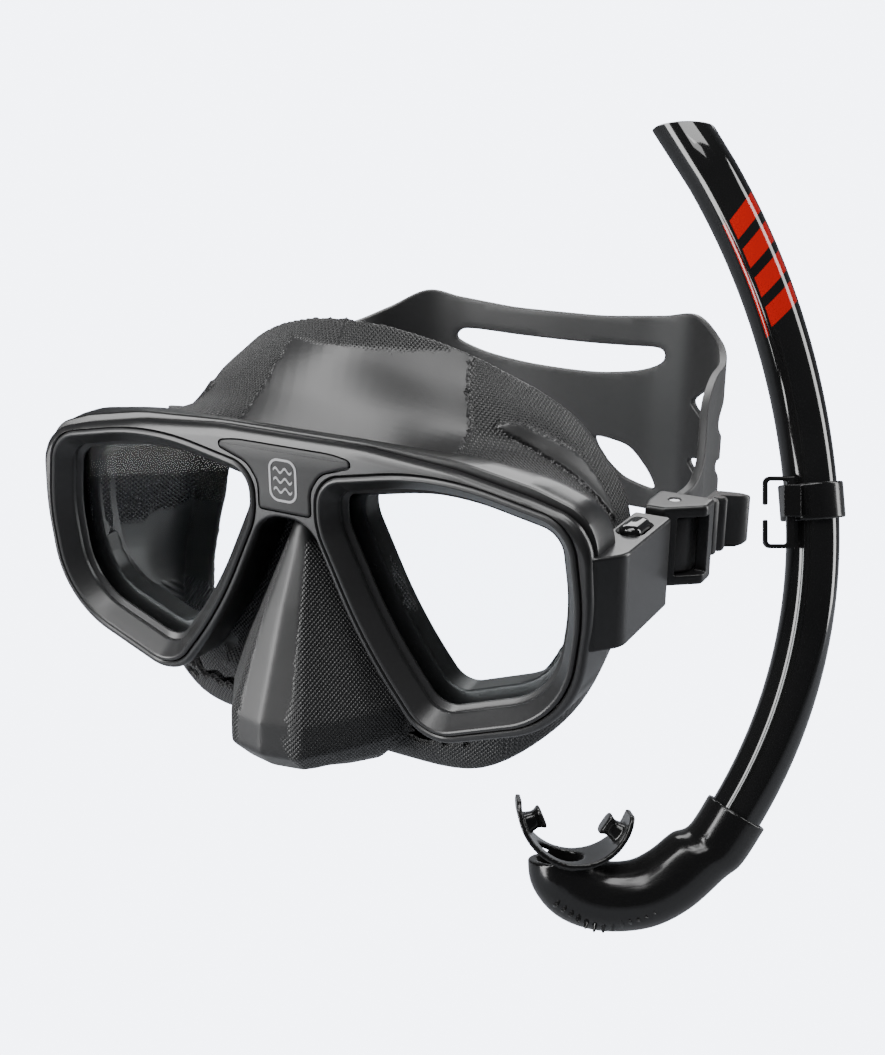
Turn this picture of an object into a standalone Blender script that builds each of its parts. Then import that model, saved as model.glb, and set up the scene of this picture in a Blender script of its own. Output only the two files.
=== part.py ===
"""A two-lens diving mask with its split strap, and the J-shaped snorkel that goes with it.

Sizes are in millimetres and MM turns them into Blender's metres. The mask is drawn from its bridge
point, the middle of the frame's front face between the lenses: +X is the wearer's left, +Y runs back
towards the face and +Z is up. The part's own origin is the middle of the face seal.
"""

import math

import bmesh
import bpy
from mathutils import Vector

MM = 0.001
GAP = 0.3  # running or seating gap between neighbouring pieces
BEZEL_DEPTH = 6.0
LENS_THICKNESS = 3.2
LIP_THICKNESS = 1.4  # the skirt's lip behind the lens
LEDGE_THICKNESS = 2.0  # the frame's ledge behind the lip

# ---- where the bridge point lies in the part's own frame
SEAL_DEPTH = 40.0
BRIDGE_RISE = 25.0

# ---- frame and lenses; an outline is its corners: x, z and the corner's radius
LENS_CORNERS = [
    (8.6, 0.4, 8.0),
    (40.0, 6.6, 75.0),
    (72.8, 0.2, 10.5),
    (75.8, -20.0, 50.0),
    (72.7, -45.7, 24.0),
    (37.5, -59.0, 10.5),
    (21.2, -38.4, 120.0),
    (8.4, -11.8, 18.0),
]
FRAME_LOW_CORNERS = [
    (77.6, -20.0, 60.0),
    (74.7, -47.1, 25.5),
    (36.9, -61.2, 12.0),
    (19.3, -38.9, 120.0),
    (6.4, -11.2, 8.0),
]
BROW_FRONT = [(20.0, 8.9, 60.0), (44.0, 6.9, 60.0), (62.0, 3.6, 40.0), (76.4, 0.0, 11.0)]
BROW_TOP = [(20.0, 9.7, 60.0), (45.0, 8.5, 60.0), (62.5, 5.4, 30.0), (77.0, 0.8, 11.0)]
BROW_BACK = [(20.0, 7.0, 60.0), (46.0, 7.2, 60.0), (63.0, 5.0, 30.0), (76.8, 0.2, 11.0)]
FRAME_DEPTH = BEZEL_DEPTH + LENS_THICKNESS + LIP_THICKNESS + LEDGE_THICKNESS + 3 * GAP
FRAME_EDGE = 1.2  # width of the rounding round the front face
LEDGE_INSET = 5.0
CORNER_STEPS = 4

BEZEL_WIDTH = 5.6
BEZEL_CHAMFER = 3.8
BEZEL_ROUND = 6.5  # least radius of the bezel's inner corners
LENS_INSET = 0.5
APERTURE_INSET = 7.3

PLATE_CORNERS = [(14.0, 6.5, 30.0), (21.2, 5.0, 1.0), (10.2, 1.4, 6.0), (7.3, -3.0, 6.0), (7.3, -9.4, 1.0)]
PLATE_THICKNESS = 2.4
PLATE_PROUD = 0.2

# ---- arms
ARM_OUTER = 82.0
ARM_INNER = 73.0
ARM_REAR = 34.5
ARM_TOP = -7.0
ARM_BOTTOM = -28.4
PIN_X, PIN_Y = ARM_OUTER - 5.0, 31.0
PIN_RADIUS = 1.25
PIN_FIT = 0.25
PIN_TOP = -9.8
TONGUE_TOP, TONGUE_BOTTOM = -13.3, -20.7
TONGUE_HALF = 2.2
TONGUE_END = 2.8
ARM_SLOT_WALL = 1.1
TAB_X, TAB_Y = ARM_OUTER - 4.7, 23.5
TAB_LENGTH, TAB_WIDTH = 10.0, 5.0
TAB_POCKET_DEPTH = 4.0
TAB_RISE = 1.6
SPRING_STRIP = 0.35

# ---- buckles and strap
BUCKLE_FRONT = 36.3
BUCKLE_REAR = 49.0
BUCKLE_TOP, BUCKLE_BOTTOM = -5.8, -25.2
BUCKLE_PLATE = 2.6
ROLLER_X, ROLLER_Y = PIN_X + 2.2, 43.6
ROLLER_RADIUS = 2.2
JOURNAL_RADIUS = 1.2
STRAP_THICKNESS = 2.2
STRAP_SIDE_CLEARANCE = 0.3
CRADLE_START = 71.2  # rear of the strap's end piece, where its cradle begins
TAIL_REAR = 67.0
TAIL_GRIP = 6.6
CRADLE = [  # plan x, y, then heights: top, upper opening's edges, lower opening's edges, bottom
    (0, 150.5, 13.8, 5.0, -4.3, -24.0, -36.0, -47.0),
    (14.5, 150.5, 13.9, 5.1, -4.4, -25.0, -28.6, -47.0),
    (25, 150.4, 14.7, 5.3, -3.0, -26.9, -37.0, -47.0),
    (36, 150.0, 15.8, 5.5, -1.0, -36.8, -40.2, -47.0),
    (47, 147.6, 17.4, -7.0, -10.5, -26.0, -29.5, -46.0),
    (57, 139.5, 12.0, -3.0, -15.0, -26.0, -35.0, -43.5),
    (62.5, 127.0, 8.8, -2.0, -14.5, -24.0, -31.0, -39.0),
    (66, 108.0, 8.4, -2.5, -7.0, -17.0, -20.5, -32.0),
    (70, 90.0, 5.0, -4.0, -6.0, -13.0, -15.0, -27.0),
    (ROLLER_X - 3.6, CRADLE_START, -7.4, -9.5, -11.0, -15.0, -17.0, -22.4),
]
UPPER_OPENINGS = ((0, 3), (4, 7))  # from which row of the cradle to which
LOWER_OPENINGS = ((1, 3), (4, 7))
CRADLE_STEPS = 4

# ---- skirt
SKIRT_WALL = 2.0
SKIRT_FRONT = FRAME_DEPTH + GAP
SEAL_FOLD = 0.86
SKIRT_LOOPS = [  # x, z and depth behind the skirt's front
    [(0, 5.8, 0), (21, 5.8, 0), (42, 6.0, 0), (56, 4.4, 0), (67, 0.2, 0), (71.4, -10, 0),
     (71.8, -24, 0), (70, -42, 0), (58, -52.5, 0), (38, -58, 0), (17, -60, 0), (0, -60, 0)],
    [(0, 14, 5.2), (21, 12.5, 6.2), (41, 8, 10.2), (52.5, 2.5, 17.2), (62.5, -5.5, 20.2), (68.5, -14, 19.2),
     (70.6, -27, 16.2), (69.6, -45, 10.2), (59.5, -58, 5.2), (41, -67.5, 1.2), (18, -69, -0.8), (0, -68, -0.8)],
    [(0, 23.5, 8.7), (21.5, 21, 11.7), (41, 14.5, 18.2), (52.5, 6.4, 28.2), (61.5, -4, 30.2), (67.2, -14, 29.2),
     (69.2, -29, 25.2), (67.8, -47, 17.2), (60, -61, 9.2), (43, -73, 3.2), (20, -75, 2.2), (0, -74, 3.2)],
    [(0, 32, 14.2), (21.5, 28.2, 18.5), (40, 18.7, 27.2), (50.6, 9, 36.2), (60, -2.4, 37.7), (66, -13, 36.2),
     (68, -30, 32.2), (66, -48, 24.2), (58, -62.5, 15.2), (42, -75, 7.2), (20, -77, 6.2), (0, -76.5, 7.2)],
]
NOSE_SECTIONS = [  # height, front of the ridge, ridge half width, base half width
    (-13.2, 6.0, 2.2, 3.6),
    (-20.0, 3.2, 4.2, 7.4),
    (-32.0, -2.8, 7.0, 13.6),
    (-46.0, -8.5, 11.0, 21.0),
    (-58.0, -13.4, 14.0, 26.0),
    (-66.0, -14.2, 13.5, 25.5),
    (-71.5, -9.0, 11.0, 22.0),
    (-75.5, -1.0, 8.0, 17.0),
]

# ---- snorkel, drawn in its own plane from the keeper: p to the side, q up the tube, n out of the plane
SNORKEL_TURN = 29.4
SNORKEL_LEAN = 19.6
KEEPER_PLACE = (61.85, 253.83, -67.73)
TUBE_RADIUS = 10.0
TUBE_WALL = 1.4
UPPER_BEND, LOWER_BEND = 295.0, 205.0
KEEPER_ANGLE = 4.54
TUBE_TOP_ANGLE, TUBE_END_ANGLE = 33.8, -35.5
SOCKET_ANGLE = -31.0
SOCKET_WALL = 1.6
SOCKET_FIT = 0.5  # the tube's end bends inside a socket that turns on it
SOCKET_DEPTH = 15.0
ELBOW = [  # centre p, q, heading in degrees and half widths in and out of the plane
    (-43.6, -138.6, 229.0, 12.9, 12.4),
    (-54.2, -147.6, 214.0, 13.2, 12.6),
    (-65.6, -153.2, 197.0, 13.2, 12.8),
    (-79.2, -154.2, 178.0, 13.2, 12.8),
    (-89.6, -151.0, 150.0, 13.4, 12.8),
    (-95.2, -145.2, 115.0, 13.2, 12.6),
    (-96.4, -139.6, 92.0, 12.6, 11.6),
]
MOUTH_BORE = 9.0
FLANGE_CENTRE = (-90.8, -118.1)
FLANGE_RADIUS = 22.8
FLANGE_HALF_WIDTH = 14.0
FLANGE_THICKNESS = 2.0
FLANGE_FROM, FLANGE_TO = 175.0, 349.0
BITE_ANGLES = (203.0, 325.0)
BITE_SIZE = (9.0, 7.5, 5.5)
BAND_RADIUS = TUBE_RADIUS + 2.2
BAND_FIT = 0.55  # the band is straight and the tube inside it bends
BAND_TOP, BAND_BOTTOM = 4.6, -9.4
CLIP_BAR_P, CLIP_BAR_N = -TUBE_RADIUS - 0.6, TUBE_RADIUS + 0.2
CLIP_BAR_HALF = 1.5
CLIP_WALL = 1.7
CLIP_REACH = 10.4
CLIP_TOP, CLIP_BOTTOM = 6.8, -20.4
CLIP_MOUTH = 5.5

COLOURS = {  # red, green, blue, roughness
    "frame_plastic": (0.035, 0.035, 0.037, 0.42),
    "bezel_plastic": (0.05, 0.05, 0.053, 0.38),
    "skirt_silicone": (0.03, 0.03, 0.031, 0.55),
    "strap_silicone": (0.035, 0.035, 0.037, 0.5),
    "buckle_plastic": (0.025, 0.025, 0.027, 0.45),
    "lens_glass": (0.8, 0.85, 0.86, 0.05),
    "gloss_black": (0.008, 0.008, 0.009, 0.15),
    "mouth_silicone": (0.01, 0.01, 0.011, 0.25),
    "steel": (0.6, 0.6, 0.62, 0.3),
}


def place(x, y, z):
    """A point measured from the bridge point, in metres in the part's own frame."""
    return Vector((x, y - SEAL_DEPTH, z + BRIDGE_RISE)) * MM


def material(name):
    found = bpy.data.materials.get(name)
    if found:
        return found
    red, green, blue, roughness = COLOURS[name]
    found = bpy.data.materials.new(name)
    found.use_nodes = True
    shader = found.node_tree.nodes["Principled BSDF"]
    shader.inputs["Base Color"].default_value = (red, green, blue, 1.0)
    shader.inputs["Roughness"].default_value = roughness
    shader.inputs["Metallic"].default_value = 1.0 if name == "steel" else 0.0
    return found


def solid(name, points, faces, finish, pivot=None):
    """An object from points in metres. Its own origin is the pivot, where one is given."""
    origin = pivot or Vector((0, 0, 0))
    mesh = bpy.data.meshes.new(name)
    mesh.from_pydata([p - origin for p in points], [], faces)
    shape = bmesh.new()
    shape.from_mesh(mesh)
    bmesh.ops.recalc_face_normals(shape, faces=shape.faces)
    shape.to_mesh(mesh)
    shape.free()
    mesh.shade_smooth()
    mesh.set_sharp_from_angle(angle=math.radians(35))
    mesh.materials.append(material(finish))
    made = bpy.data.objects.new(name, mesh)
    made.location = origin
    bpy.context.scene.collection.objects.link(made)
    return made


def loft(loops, ring=False):
    """Points and faces of a skin through loops of equal length: capped, or closed into a ring."""
    count = len(loops[0])
    points = [p for loop in loops for p in loop]
    faces = []
    for i in range(len(loops) if ring else len(loops) - 1):
        here, there = i * count, ((i + 1) % len(loops)) * count
        for k in range(count):
            after = (k + 1) % count
            faces.append((here + k, here + after, there + after, there + k))
    if not ring:
        faces.append(tuple(range(count)))
        faces.append(tuple(range(len(points) - count, len(points))))
    return points, faces


def cut(target, cutter):
    combine(target, cutter, "DIFFERENCE")


def combine(target, other, operation="UNION"):
    step = target.modifiers.new(other.name, "BOOLEAN")
    step.operation = operation
    step.object = other
    other.hide_render = True
    other.display_type = "WIRE"


def rounded(corners, inset=0.0, steps=CORNER_STEPS, least=0.6):
    """A closed outline with an arc at each corner, moved inwards by inset; wide arcs stay above least."""
    count = len(corners)
    flat = [Vector(c[:2]) for c in corners]
    turn = sum(flat[i - 1].cross(flat[i]) for i in range(count))
    side = 1.0 if turn > 0 else -1.0
    moved = []
    for i in range(count):
        into = (flat[i] - flat[i - 1]).normalized()
        out = (flat[(i + 1) % count] - flat[i]).normalized()
        shift = (Vector((-into.y, into.x)) + Vector((-out.y, out.x))) * side
        scale = shift.dot(Vector((-into.y, into.x)) * side)
        moved.append(flat[i] + shift * (inset / scale))
    outline = []
    for i in range(count):
        back = (moved[i - 1] - moved[i]).normalized()
        ahead = (moved[(i + 1) % count] - moved[i]).normalized()
        convex = side * ahead.cross(back) > 0
        wanted = corners[i][2]
        floor = least if wanted > 1.5 * least else min(wanted, 0.6)
        radius = max(wanted - inset, floor) if convex else wanted + inset
        half = math.acos(max(-1.0, min(1.0, back.dot(ahead)))) / 2
        centre = moved[i] + (back + ahead).normalized() * (radius / math.sin(half))
        first = moved[i] + back * (radius / math.tan(half)) - centre
        last = moved[i] + ahead * (radius / math.tan(half)) - centre
        start = math.atan2(first.y, first.x)
        sweep = (math.atan2(last.y, last.x) - start + math.pi) % (2 * math.pi) - math.pi
        for k in range(steps + 1):
            angle = start + sweep * k / steps
            outline.append((centre.x + radius * math.cos(angle), centre.y + radius * math.sin(angle)))
    return outline


def smooth(points, steps, closed=True):
    """Points along a Catmull-Rom curve through the given points."""
    count = len(points)
    spans = count if closed else count - 1
    found = []
    for i in range(spans):
        near = [points[(i + k) % count] if closed else points[max(0, min(count - 1, i + k))] for k in (-1, 0, 1, 2)]
        a, b, c, d = (Vector(p) for p in near)
        for k in range(steps):
            t = k / steps
            found.append(0.5 * (2 * b + (c - a) * t + (2 * a - 5 * b + 4 * c - d) * t * t
                                + (3 * b - 3 * c + d - a) * t ** 3))
    if not closed:
        found.append(Vector(points[-1]))
    return found


def mirrored(half):
    """A whole outline from its right half, corners listed from the top middle to the bottom middle."""
    return list(half) + [(-c[0], *c[1:]) for c in reversed(half)]


def facing(outline, side, depth):
    """An outline in x and z stood up at a depth, on the wearer's left (+1) or right (-1)."""
    return [place(side * x, depth, z) for x, z in outline]


def block(name, side, corners, low, high, finish, pivot=None, steps=3):
    """A plan outline, x and y with corner radii, raised from low to high."""
    outline = rounded(corners, 0.0, steps)
    loops = [[place(side * x, y, z) for x, y in outline] for z in (low, high)]
    return solid(name, *loft(loops), finish, pivot)


def box_corners(x0, x1, y0, y1, radius):
    return [(x0, y0, radius), (x1, y0, radius), (x1, y1, radius), (x0, y1, radius)]


def post(name, side, x, y, profile, finish, pivot=None, sides=20):
    """A turned piece on a vertical axis: profile gives height and radius from bottom to top."""
    loops = []
    for z, radius in profile:
        turns = [2 * math.pi * k / sides for k in range(sides)]
        loops.append([place(side * x + radius * math.cos(a), y + radius * math.sin(a), z) for a in turns])
    return solid(name, *loft(loops), finish, pivot)


# ------------------------------------------------------------------ mask front


def make_frame():
    low = FRAME_LOW_CORNERS
    stations = [
        (mirrored(BROW_FRONT + low), FRAME_EDGE, 0.0),
        (mirrored(BROW_FRONT + low), FRAME_EDGE * 0.3, FRAME_EDGE * 0.3),
        (mirrored(BROW_FRONT + low), 0.0, FRAME_EDGE),
        (mirrored(BROW_TOP + low), 0.0, FRAME_DEPTH * 0.35),
        (mirrored(BROW_BACK + low), 0.0, FRAME_DEPTH),
    ]
    frame = solid("main_frame", *loft([facing(rounded(c, inset), 1, y) for c, inset, y in stations]), "frame_plastic")
    for side in (1, -1):
        combine(frame, make_arm(side))
    cut(frame, make_plate_recess())
    for side in (1, -1):
        cut(frame, make_lens_pocket(side))
        for cutter in make_arm_cutters(side):
            cut(frame, cutter)
    return frame


def make_arm(side):
    front = 1.5
    corners = [
        (ARM_INNER, ARM_REAR, 1.2),
        (ARM_INNER, FRAME_DEPTH - 3, 4.0),
        (ARM_INNER - 4, FRAME_DEPTH - 5, 2.0),
        (ARM_INNER, front, 2.0),
        (77.2, front, 2.0),
        (ARM_OUTER, front + 6.0, 6.0),
        (ARM_OUTER, ARM_REAR, 1.2),
    ]
    return block(f"arm_{side}", side, corners, ARM_BOTTOM, ARM_TOP, "frame_plastic")


def make_lens_pocket(side):
    """One cutter for the bezel, the lens and the skirt's lip, and the smaller hole through the ledge."""
    ledge = FRAME_DEPTH - LEDGE_THICKNESS
    stations = [(0.0, -2.0), (0.0, ledge), (LEDGE_INSET, ledge), (LEDGE_INSET, FRAME_DEPTH + 2.0)]
    loops = [facing(rounded(LENS_CORNERS, inset), side, y) for inset, y in stations]
    return solid(f"lens_pocket_{side}", *loft(loops), "frame_plastic")


def make_plate_recess():
    outline = rounded(mirrored(PLATE_CORNERS), -GAP)
    depth = PLATE_THICKNESS - PLATE_PROUD + GAP
    return solid("plate_recess", *loft([facing(outline, 1, y) for y in (-2.0, depth)]), "frame_plastic")


def make_arm_cutters(side):
    slot = box_corners(ARM_INNER - 3, ARM_OUTER - ARM_SLOT_WALL, PIN_Y - TONGUE_END - GAP, ARM_REAR + 3, 0.6)
    yield block(f"tongue_slot_{side}", side, slot, TONGUE_BOTTOM - GAP, TONGUE_TOP + GAP, "frame_plastic")
    bore = [(ARM_BOTTOM - 2, PIN_RADIUS + PIN_FIT), (PIN_TOP + GAP, PIN_RADIUS + PIN_FIT)]
    yield post(f"pin_bore_{side}", side, PIN_X, PIN_Y, bore, "frame_plastic")
    pocket = tab_outline(GAP)
    yield block(f"tab_pocket_{side}", side, pocket, ARM_TOP - TAB_POCKET_DEPTH, ARM_TOP + 2, "frame_plastic")


def tab_outline(grow):
    half_x, half_y = TAB_WIDTH / 2 + grow, TAB_LENGTH / 2 + grow
    return box_corners(TAB_X - half_x, TAB_X + half_x, TAB_Y - half_y, TAB_Y + half_y, half_x - 0.05)


def make_bezel(side):
    name = "bezel_left" if side > 0 else "bezel_right"
    section = [
        (GAP, 0.2),
        (GAP + 0.5, -0.3),
        (GAP + 1.0, -0.3),
        (BEZEL_CHAMFER + 0.6, BEZEL_CHAMFER),
        (BEZEL_CHAMFER + 0.6, BEZEL_CHAMFER + 1.0),
        (BEZEL_WIDTH, BEZEL_DEPTH - 0.6),
        (BEZEL_WIDTH, BEZEL_DEPTH),
        (GAP, BEZEL_DEPTH),
    ]
    loops = [facing(rounded(LENS_CORNERS, inset, least=BEZEL_ROUND), side, y) for inset, y in section]
    return solid(name, *loft(loops, ring=True), "bezel_plastic")


def make_lens(side):
    name = "lens_left" if side > 0 else "lens_right"
    front = BEZEL_DEPTH + GAP
    outline = rounded(LENS_CORNERS, LENS_INSET)
    return solid(name, *loft([facing(outline, side, y) for y in (front, front + LENS_THICKNESS)]), "lens_glass")


def make_bridge_plate():
    corners = mirrored(PLATE_CORNERS)
    stations = [(0.4, -PLATE_PROUD), (0.0, 0.2), (0.0, PLATE_THICKNESS - PLATE_PROUD)]
    loops = [facing(rounded(corners, inset), 1, y) for inset, y in stations]
    return solid("bridge_plate", *loft(loops), "frame_plastic")


# ------------------------------------------------------------------ skirt


def whole_loop(half):
    """A closed loop in x, z and depth from its right half."""
    right = [(x, z, SKIRT_FRONT + depth) for x, z, depth in half]
    return right + [(-x, z, depth) for x, z, depth in reversed(right[1:-1])]


def shrunk(loop, inset, back=0.0):
    """The loop moved inwards in its own outline by inset, and back by a distance."""
    count = len(loop)
    found = []
    for i in range(count):
        along = Vector(loop[(i + 1) % count][:2]) - Vector(loop[i - 1][:2])
        inward = Vector((along.y, -along.x)).normalized()
        found.append((loop[i][0] + inward.x * inset, loop[i][1] + inward.y * inset, loop[i][2] + back))
    return found


def folded(loop, share, back):
    """The loop drawn in towards the middle of the face, as the sealing edge folds."""
    middle_z = sum(p[1] for p in loop) / len(loop)
    return [(p[0] * share, middle_z + (p[1] - middle_z) * share, p[2] + back) for p in loop]


def skirt_loop(loop, steps=2):
    return [place(x, y, z) for x, z, y in smooth(loop, steps)]


def nose_section(height, front, ridge, base, wall=0.0, back=SKIRT_FRONT + 1.2):
    """One level section of the nose pocket, from one side of its base round the ridge to the other."""
    ridge, base, front = ridge - wall * 0.7, base - wall, front + wall
    half = [(0.0, front), (ridge * 0.72, front + ridge * 0.14), (ridge, front + ridge * 0.55),
            ((ridge + base) / 2, (front + ridge * 0.55 + SKIRT_FRONT - 3) / 2), (base, SKIRT_FRONT - 1.0), (base, back)]
    outline = [(-x, y) for x, y in reversed(half[1:])] + half
    return [place(x, y, height) for x, y in outline]


def make_skirt():
    outer = [whole_loop(half) for half in SKIRT_LOOPS]
    edge = folded(outer[-1], SEAL_FOLD, 3.0)
    skirt = solid("skirt", *loft([skirt_loop(loop) for loop in outer + [edge]]), "skirt_silicone")
    nose = [nose_section(*row) for row in NOSE_SECTIONS]
    combine(skirt, solid("nose_outside", *loft(nose), "skirt_silicone"))
    inner = [shrunk(loop, SKIRT_WALL) for loop in outer]
    inner[0] = shrunk(outer[0], SKIRT_WALL, SKIRT_WALL)
    mouth = folded(inner[-1], SEAL_FOLD, 1.0)
    behind = [(x, z, 2 * SEAL_DEPTH) for x, z, _ in mouth]
    cavity = solid("face_cavity", *loft([skirt_loop(loop) for loop in inner + [mouth, behind]]), "skirt_silicone")
    cut(skirt, cavity)
    rows = [(h + (-SKIRT_WALL if i == 0 else SKIRT_WALL if i == len(NOSE_SECTIONS) - 1 else 0.0), f, r, b)
            for i, (h, f, r, b) in enumerate(NOSE_SECTIONS)]
    inside = [nose_section(*row, wall=SKIRT_WALL, back=SKIRT_FRONT + SKIRT_WALL + 1.5) for row in rows]
    cut(skirt, solid("nose_cavity", *loft(inside), "skirt_silicone"))
    for side in (1, -1):
        combine(skirt, make_skirt_neck(side))
        cut(skirt, make_aperture(side))
    return skirt


def make_skirt_neck(side):
    """The lip that the lens seats on and the neck that passes through the frame's ledge."""
    front = BEZEL_DEPTH + LENS_THICKNESS + 2 * GAP
    stations = [
        (LENS_INSET, front),
        (LENS_INSET, front + LIP_THICKNESS),
        (LEDGE_INSET + GAP, front + LIP_THICKNESS),
        (LEDGE_INSET + GAP, SKIRT_FRONT + SKIRT_WALL * 0.6),
    ]
    loops = [facing(rounded(LENS_CORNERS, inset), side, y) for inset, y in stations]
    return solid(f"skirt_neck_{side}", *loft(loops), "skirt_silicone")


def make_aperture(side):
    outline = rounded(LENS_CORNERS, APERTURE_INSET)
    front = BEZEL_DEPTH + LENS_THICKNESS
    loops = [facing(outline, side, y) for y in (front, SKIRT_FRONT + SKIRT_WALL + 2)]
    return solid(f"aperture_{side}", *loft(loops), "skirt_silicone")


# ------------------------------------------------------------------ buckles and strap


def pin_pivot(side):
    return place(side * PIN_X, PIN_Y, (TONGUE_TOP + TONGUE_BOTTOM) / 2)


def make_buckle(side, word):
    pivot = pin_pivot(side)
    plan = [
        (PIN_X - 2.3, BUCKLE_FRONT, 0.5),
        (PIN_X + 2.4, BUCKLE_FRONT, 0.5),
        (ROLLER_X + 8.2, 42.5, 2.0),
        (ROLLER_X + 8.2, BUCKLE_REAR, 1.5),
        (ROLLER_X - 5.6, BUCKLE_REAR, 1.5),
        (ROLLER_X - 5.6, 41.0, 2.0),
    ]
    buckle = block(f"buckle_{word}", side, plan, BUCKLE_BOTTOM, BUCKLE_TOP, "buckle_plastic", pivot)
    tongue = [
        (PIN_X - TONGUE_HALF, BUCKLE_FRONT + 1, 0.2),
        (PIN_X - TONGUE_HALF, PIN_Y - TONGUE_END, 2.1),
        (PIN_X + TONGUE_HALF, PIN_Y - TONGUE_END, 2.1),
        (PIN_X + TONGUE_HALF, BUCKLE_FRONT + 1, 0.2),
    ]
    combine(buckle, block(f"tongue_{word}", side, tongue, TONGUE_BOTTOM, TONGUE_TOP, "buckle_plastic"))
    low, high = BUCKLE_BOTTOM + BUCKLE_PLATE, BUCKLE_TOP - BUCKLE_PLATE
    front_bar = ROLLER_Y - ROLLER_RADIUS - STRAP_THICKNESS - 3 * GAP
    bar_inside = ROLLER_X + ROLLER_RADIUS + STRAP_THICKNESS + 3 * GAP
    window = box_corners(68.0, bar_inside, front_bar, BUCKLE_REAR + 4, 0.8)
    cut(buckle, block(f"window_{word}", side, window, low, high, "buckle_plastic"))
    mouth = box_corners(bar_inside - 1.5, 92.0, front_bar - 4, BUCKLE_REAR - 4.4, 0.8)
    cut(buckle, block(f"mouth_{word}", side, mouth, low, high, "buckle_plastic"))
    holes = [
        (PIN_X, PIN_Y, PIN_RADIUS, TONGUE_BOTTOM - 2, TONGUE_TOP + 2),
        (ROLLER_X, ROLLER_Y, JOURNAL_RADIUS, BUCKLE_BOTTOM - 2, BUCKLE_TOP + 2),
    ]
    for k, (x, y, radius, bottom, top) in enumerate(holes):
        profile = [(bottom, radius + PIN_FIT), (top, radius + PIN_FIT)]
        cut(buckle, post(f"hole_{k}_{word}", side, x, y, profile, "buckle_plastic"))
    return buckle


def make_buckle_bar(side, word):
    low, high = BUCKLE_BOTTOM + BUCKLE_PLATE + GAP, BUCKLE_TOP - BUCKLE_PLATE - GAP
    profile = [
        (BUCKLE_BOTTOM + 0.3, JOURNAL_RADIUS),
        (low, JOURNAL_RADIUS),
        (low, ROLLER_RADIUS),
        (high, ROLLER_RADIUS),
        (high, JOURNAL_RADIUS),
        (BUCKLE_TOP - 0.3, JOURNAL_RADIUS),
    ]
    return post(f"buckle_bar_{word}", side, ROLLER_X, ROLLER_Y, profile, "steel", pin_pivot(side))


def make_buckle_pin(side, word):
    profile = [(ARM_BOTTOM + 0.3, PIN_RADIUS), (PIN_TOP, PIN_RADIUS)]
    return post(f"buckle_pin_{word}", side, PIN_X, PIN_Y, profile, "steel", pin_pivot(side))


def strap_end_outline():
    """Plan of the strap's end: in from the cradle, round the roller and back as the ribbed tail."""
    inner = ROLLER_RADIUS + GAP
    outer = inner + STRAP_THICKNESS
    inside = [(ROLLER_X - outer, CRADLE_START - 0.5)]
    turns = [math.pi + math.pi * k / 8 for k in range(9)]
    inside += [(ROLLER_X + outer * math.cos(a), ROLLER_Y + outer * math.sin(a)) for a in turns]
    face = ROLLER_X + outer
    ribs = []
    for k in range(3):
        start = BUCKLE_REAR + 1.6 + 3.6 * k
        rise = 1.0 + 0.8 * k
        ribs += [(face, start), (face + rise, start + 0.9), (face + rise, start + 2.4), (face + 0.3, start + 3.2)]
    grip = [(face + TAIL_GRIP * 0.8, TAIL_REAR - 3.4), (face + TAIL_GRIP, TAIL_REAR - 1.0),
            (face + TAIL_GRIP * 0.7, TAIL_REAR + 1.2), (face + 0.4, TAIL_REAR + 1.6), (face - STRAP_THICKNESS, TAIL_REAR)]
    back = [(ROLLER_X + inner * math.cos(a), ROLLER_Y + inner * math.sin(a)) for a in reversed(turns)]
    return inside + ribs + grip + back + [(ROLLER_X - inner, CRADLE_START - 0.5)]


def strap_levels():
    margin = BUCKLE_PLATE + STRAP_SIDE_CLEARANCE
    return BUCKLE_BOTTOM + margin, BUCKLE_TOP - margin


def make_strap_end(side, word):
    low, high = strap_levels()
    outline = strap_end_outline()
    loops = [[place(side * x, y, z) for x, y in outline] for z in (low, low + 0.4, high - 0.4, high)]
    return solid(f"strap_end_{word}", *loft(loops), "strap_silicone", pin_pivot(side))


def make_strap_cradle():
    """A thin band along its plan path, with slots where rows of faces are left out."""
    half = smooth(CRADLE, CRADLE_STEPS, closed=False)
    line = [Vector((-row[0], *row[1:])) for row in reversed(half[1:])] + half
    centre = len(half) - 1
    points = []
    for row in line:
        heights = [row[2], row[3], row[4], row[5], row[6], row[7]]
        points += [place(row[0], row[1], z) for z in heights]
    faces = []
    openings = {1: UPPER_OPENINGS, 3: LOWER_OPENINGS}
    for i in range(len(line) - 1):
        at = abs(i + 0.5 - centre) / CRADLE_STEPS
        for k in range(5):
            if any(first < at < last for first, last in openings.get(k, ())):
                continue
            a, b = i * 6 + k, (i + 1) * 6 + k
            faces.append((a, a + 1, b + 1, b))
    cradle = solid("strap_cradle", points, faces, "strap_silicone")
    wall = cradle.modifiers.new("thickness", "SOLIDIFY")
    wall.thickness = STRAP_THICKNESS * MM
    wall.offset = 0.0
    return cradle


# ------------------------------------------------------------------ release tabs


def make_release_tab(side, word):
    pivot = place(side * TAB_X, TAB_Y, ARM_TOP)
    low = ARM_TOP - TAB_POCKET_DEPTH + 2.2
    stations = [(0.0, low), (0.0, ARM_TOP + TAB_RISE * 0.35), (0.7, ARM_TOP + TAB_RISE * 0.85), (1.6, ARM_TOP + TAB_RISE)]
    loops = []
    for inset, z in stations:
        loops.append([place(side * x, y, z) for x, y in rounded(tab_outline(0.0), inset, 4)])
    return solid(f"release_tab_{word}", *loft(loops), "gloss_black", pivot)


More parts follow.
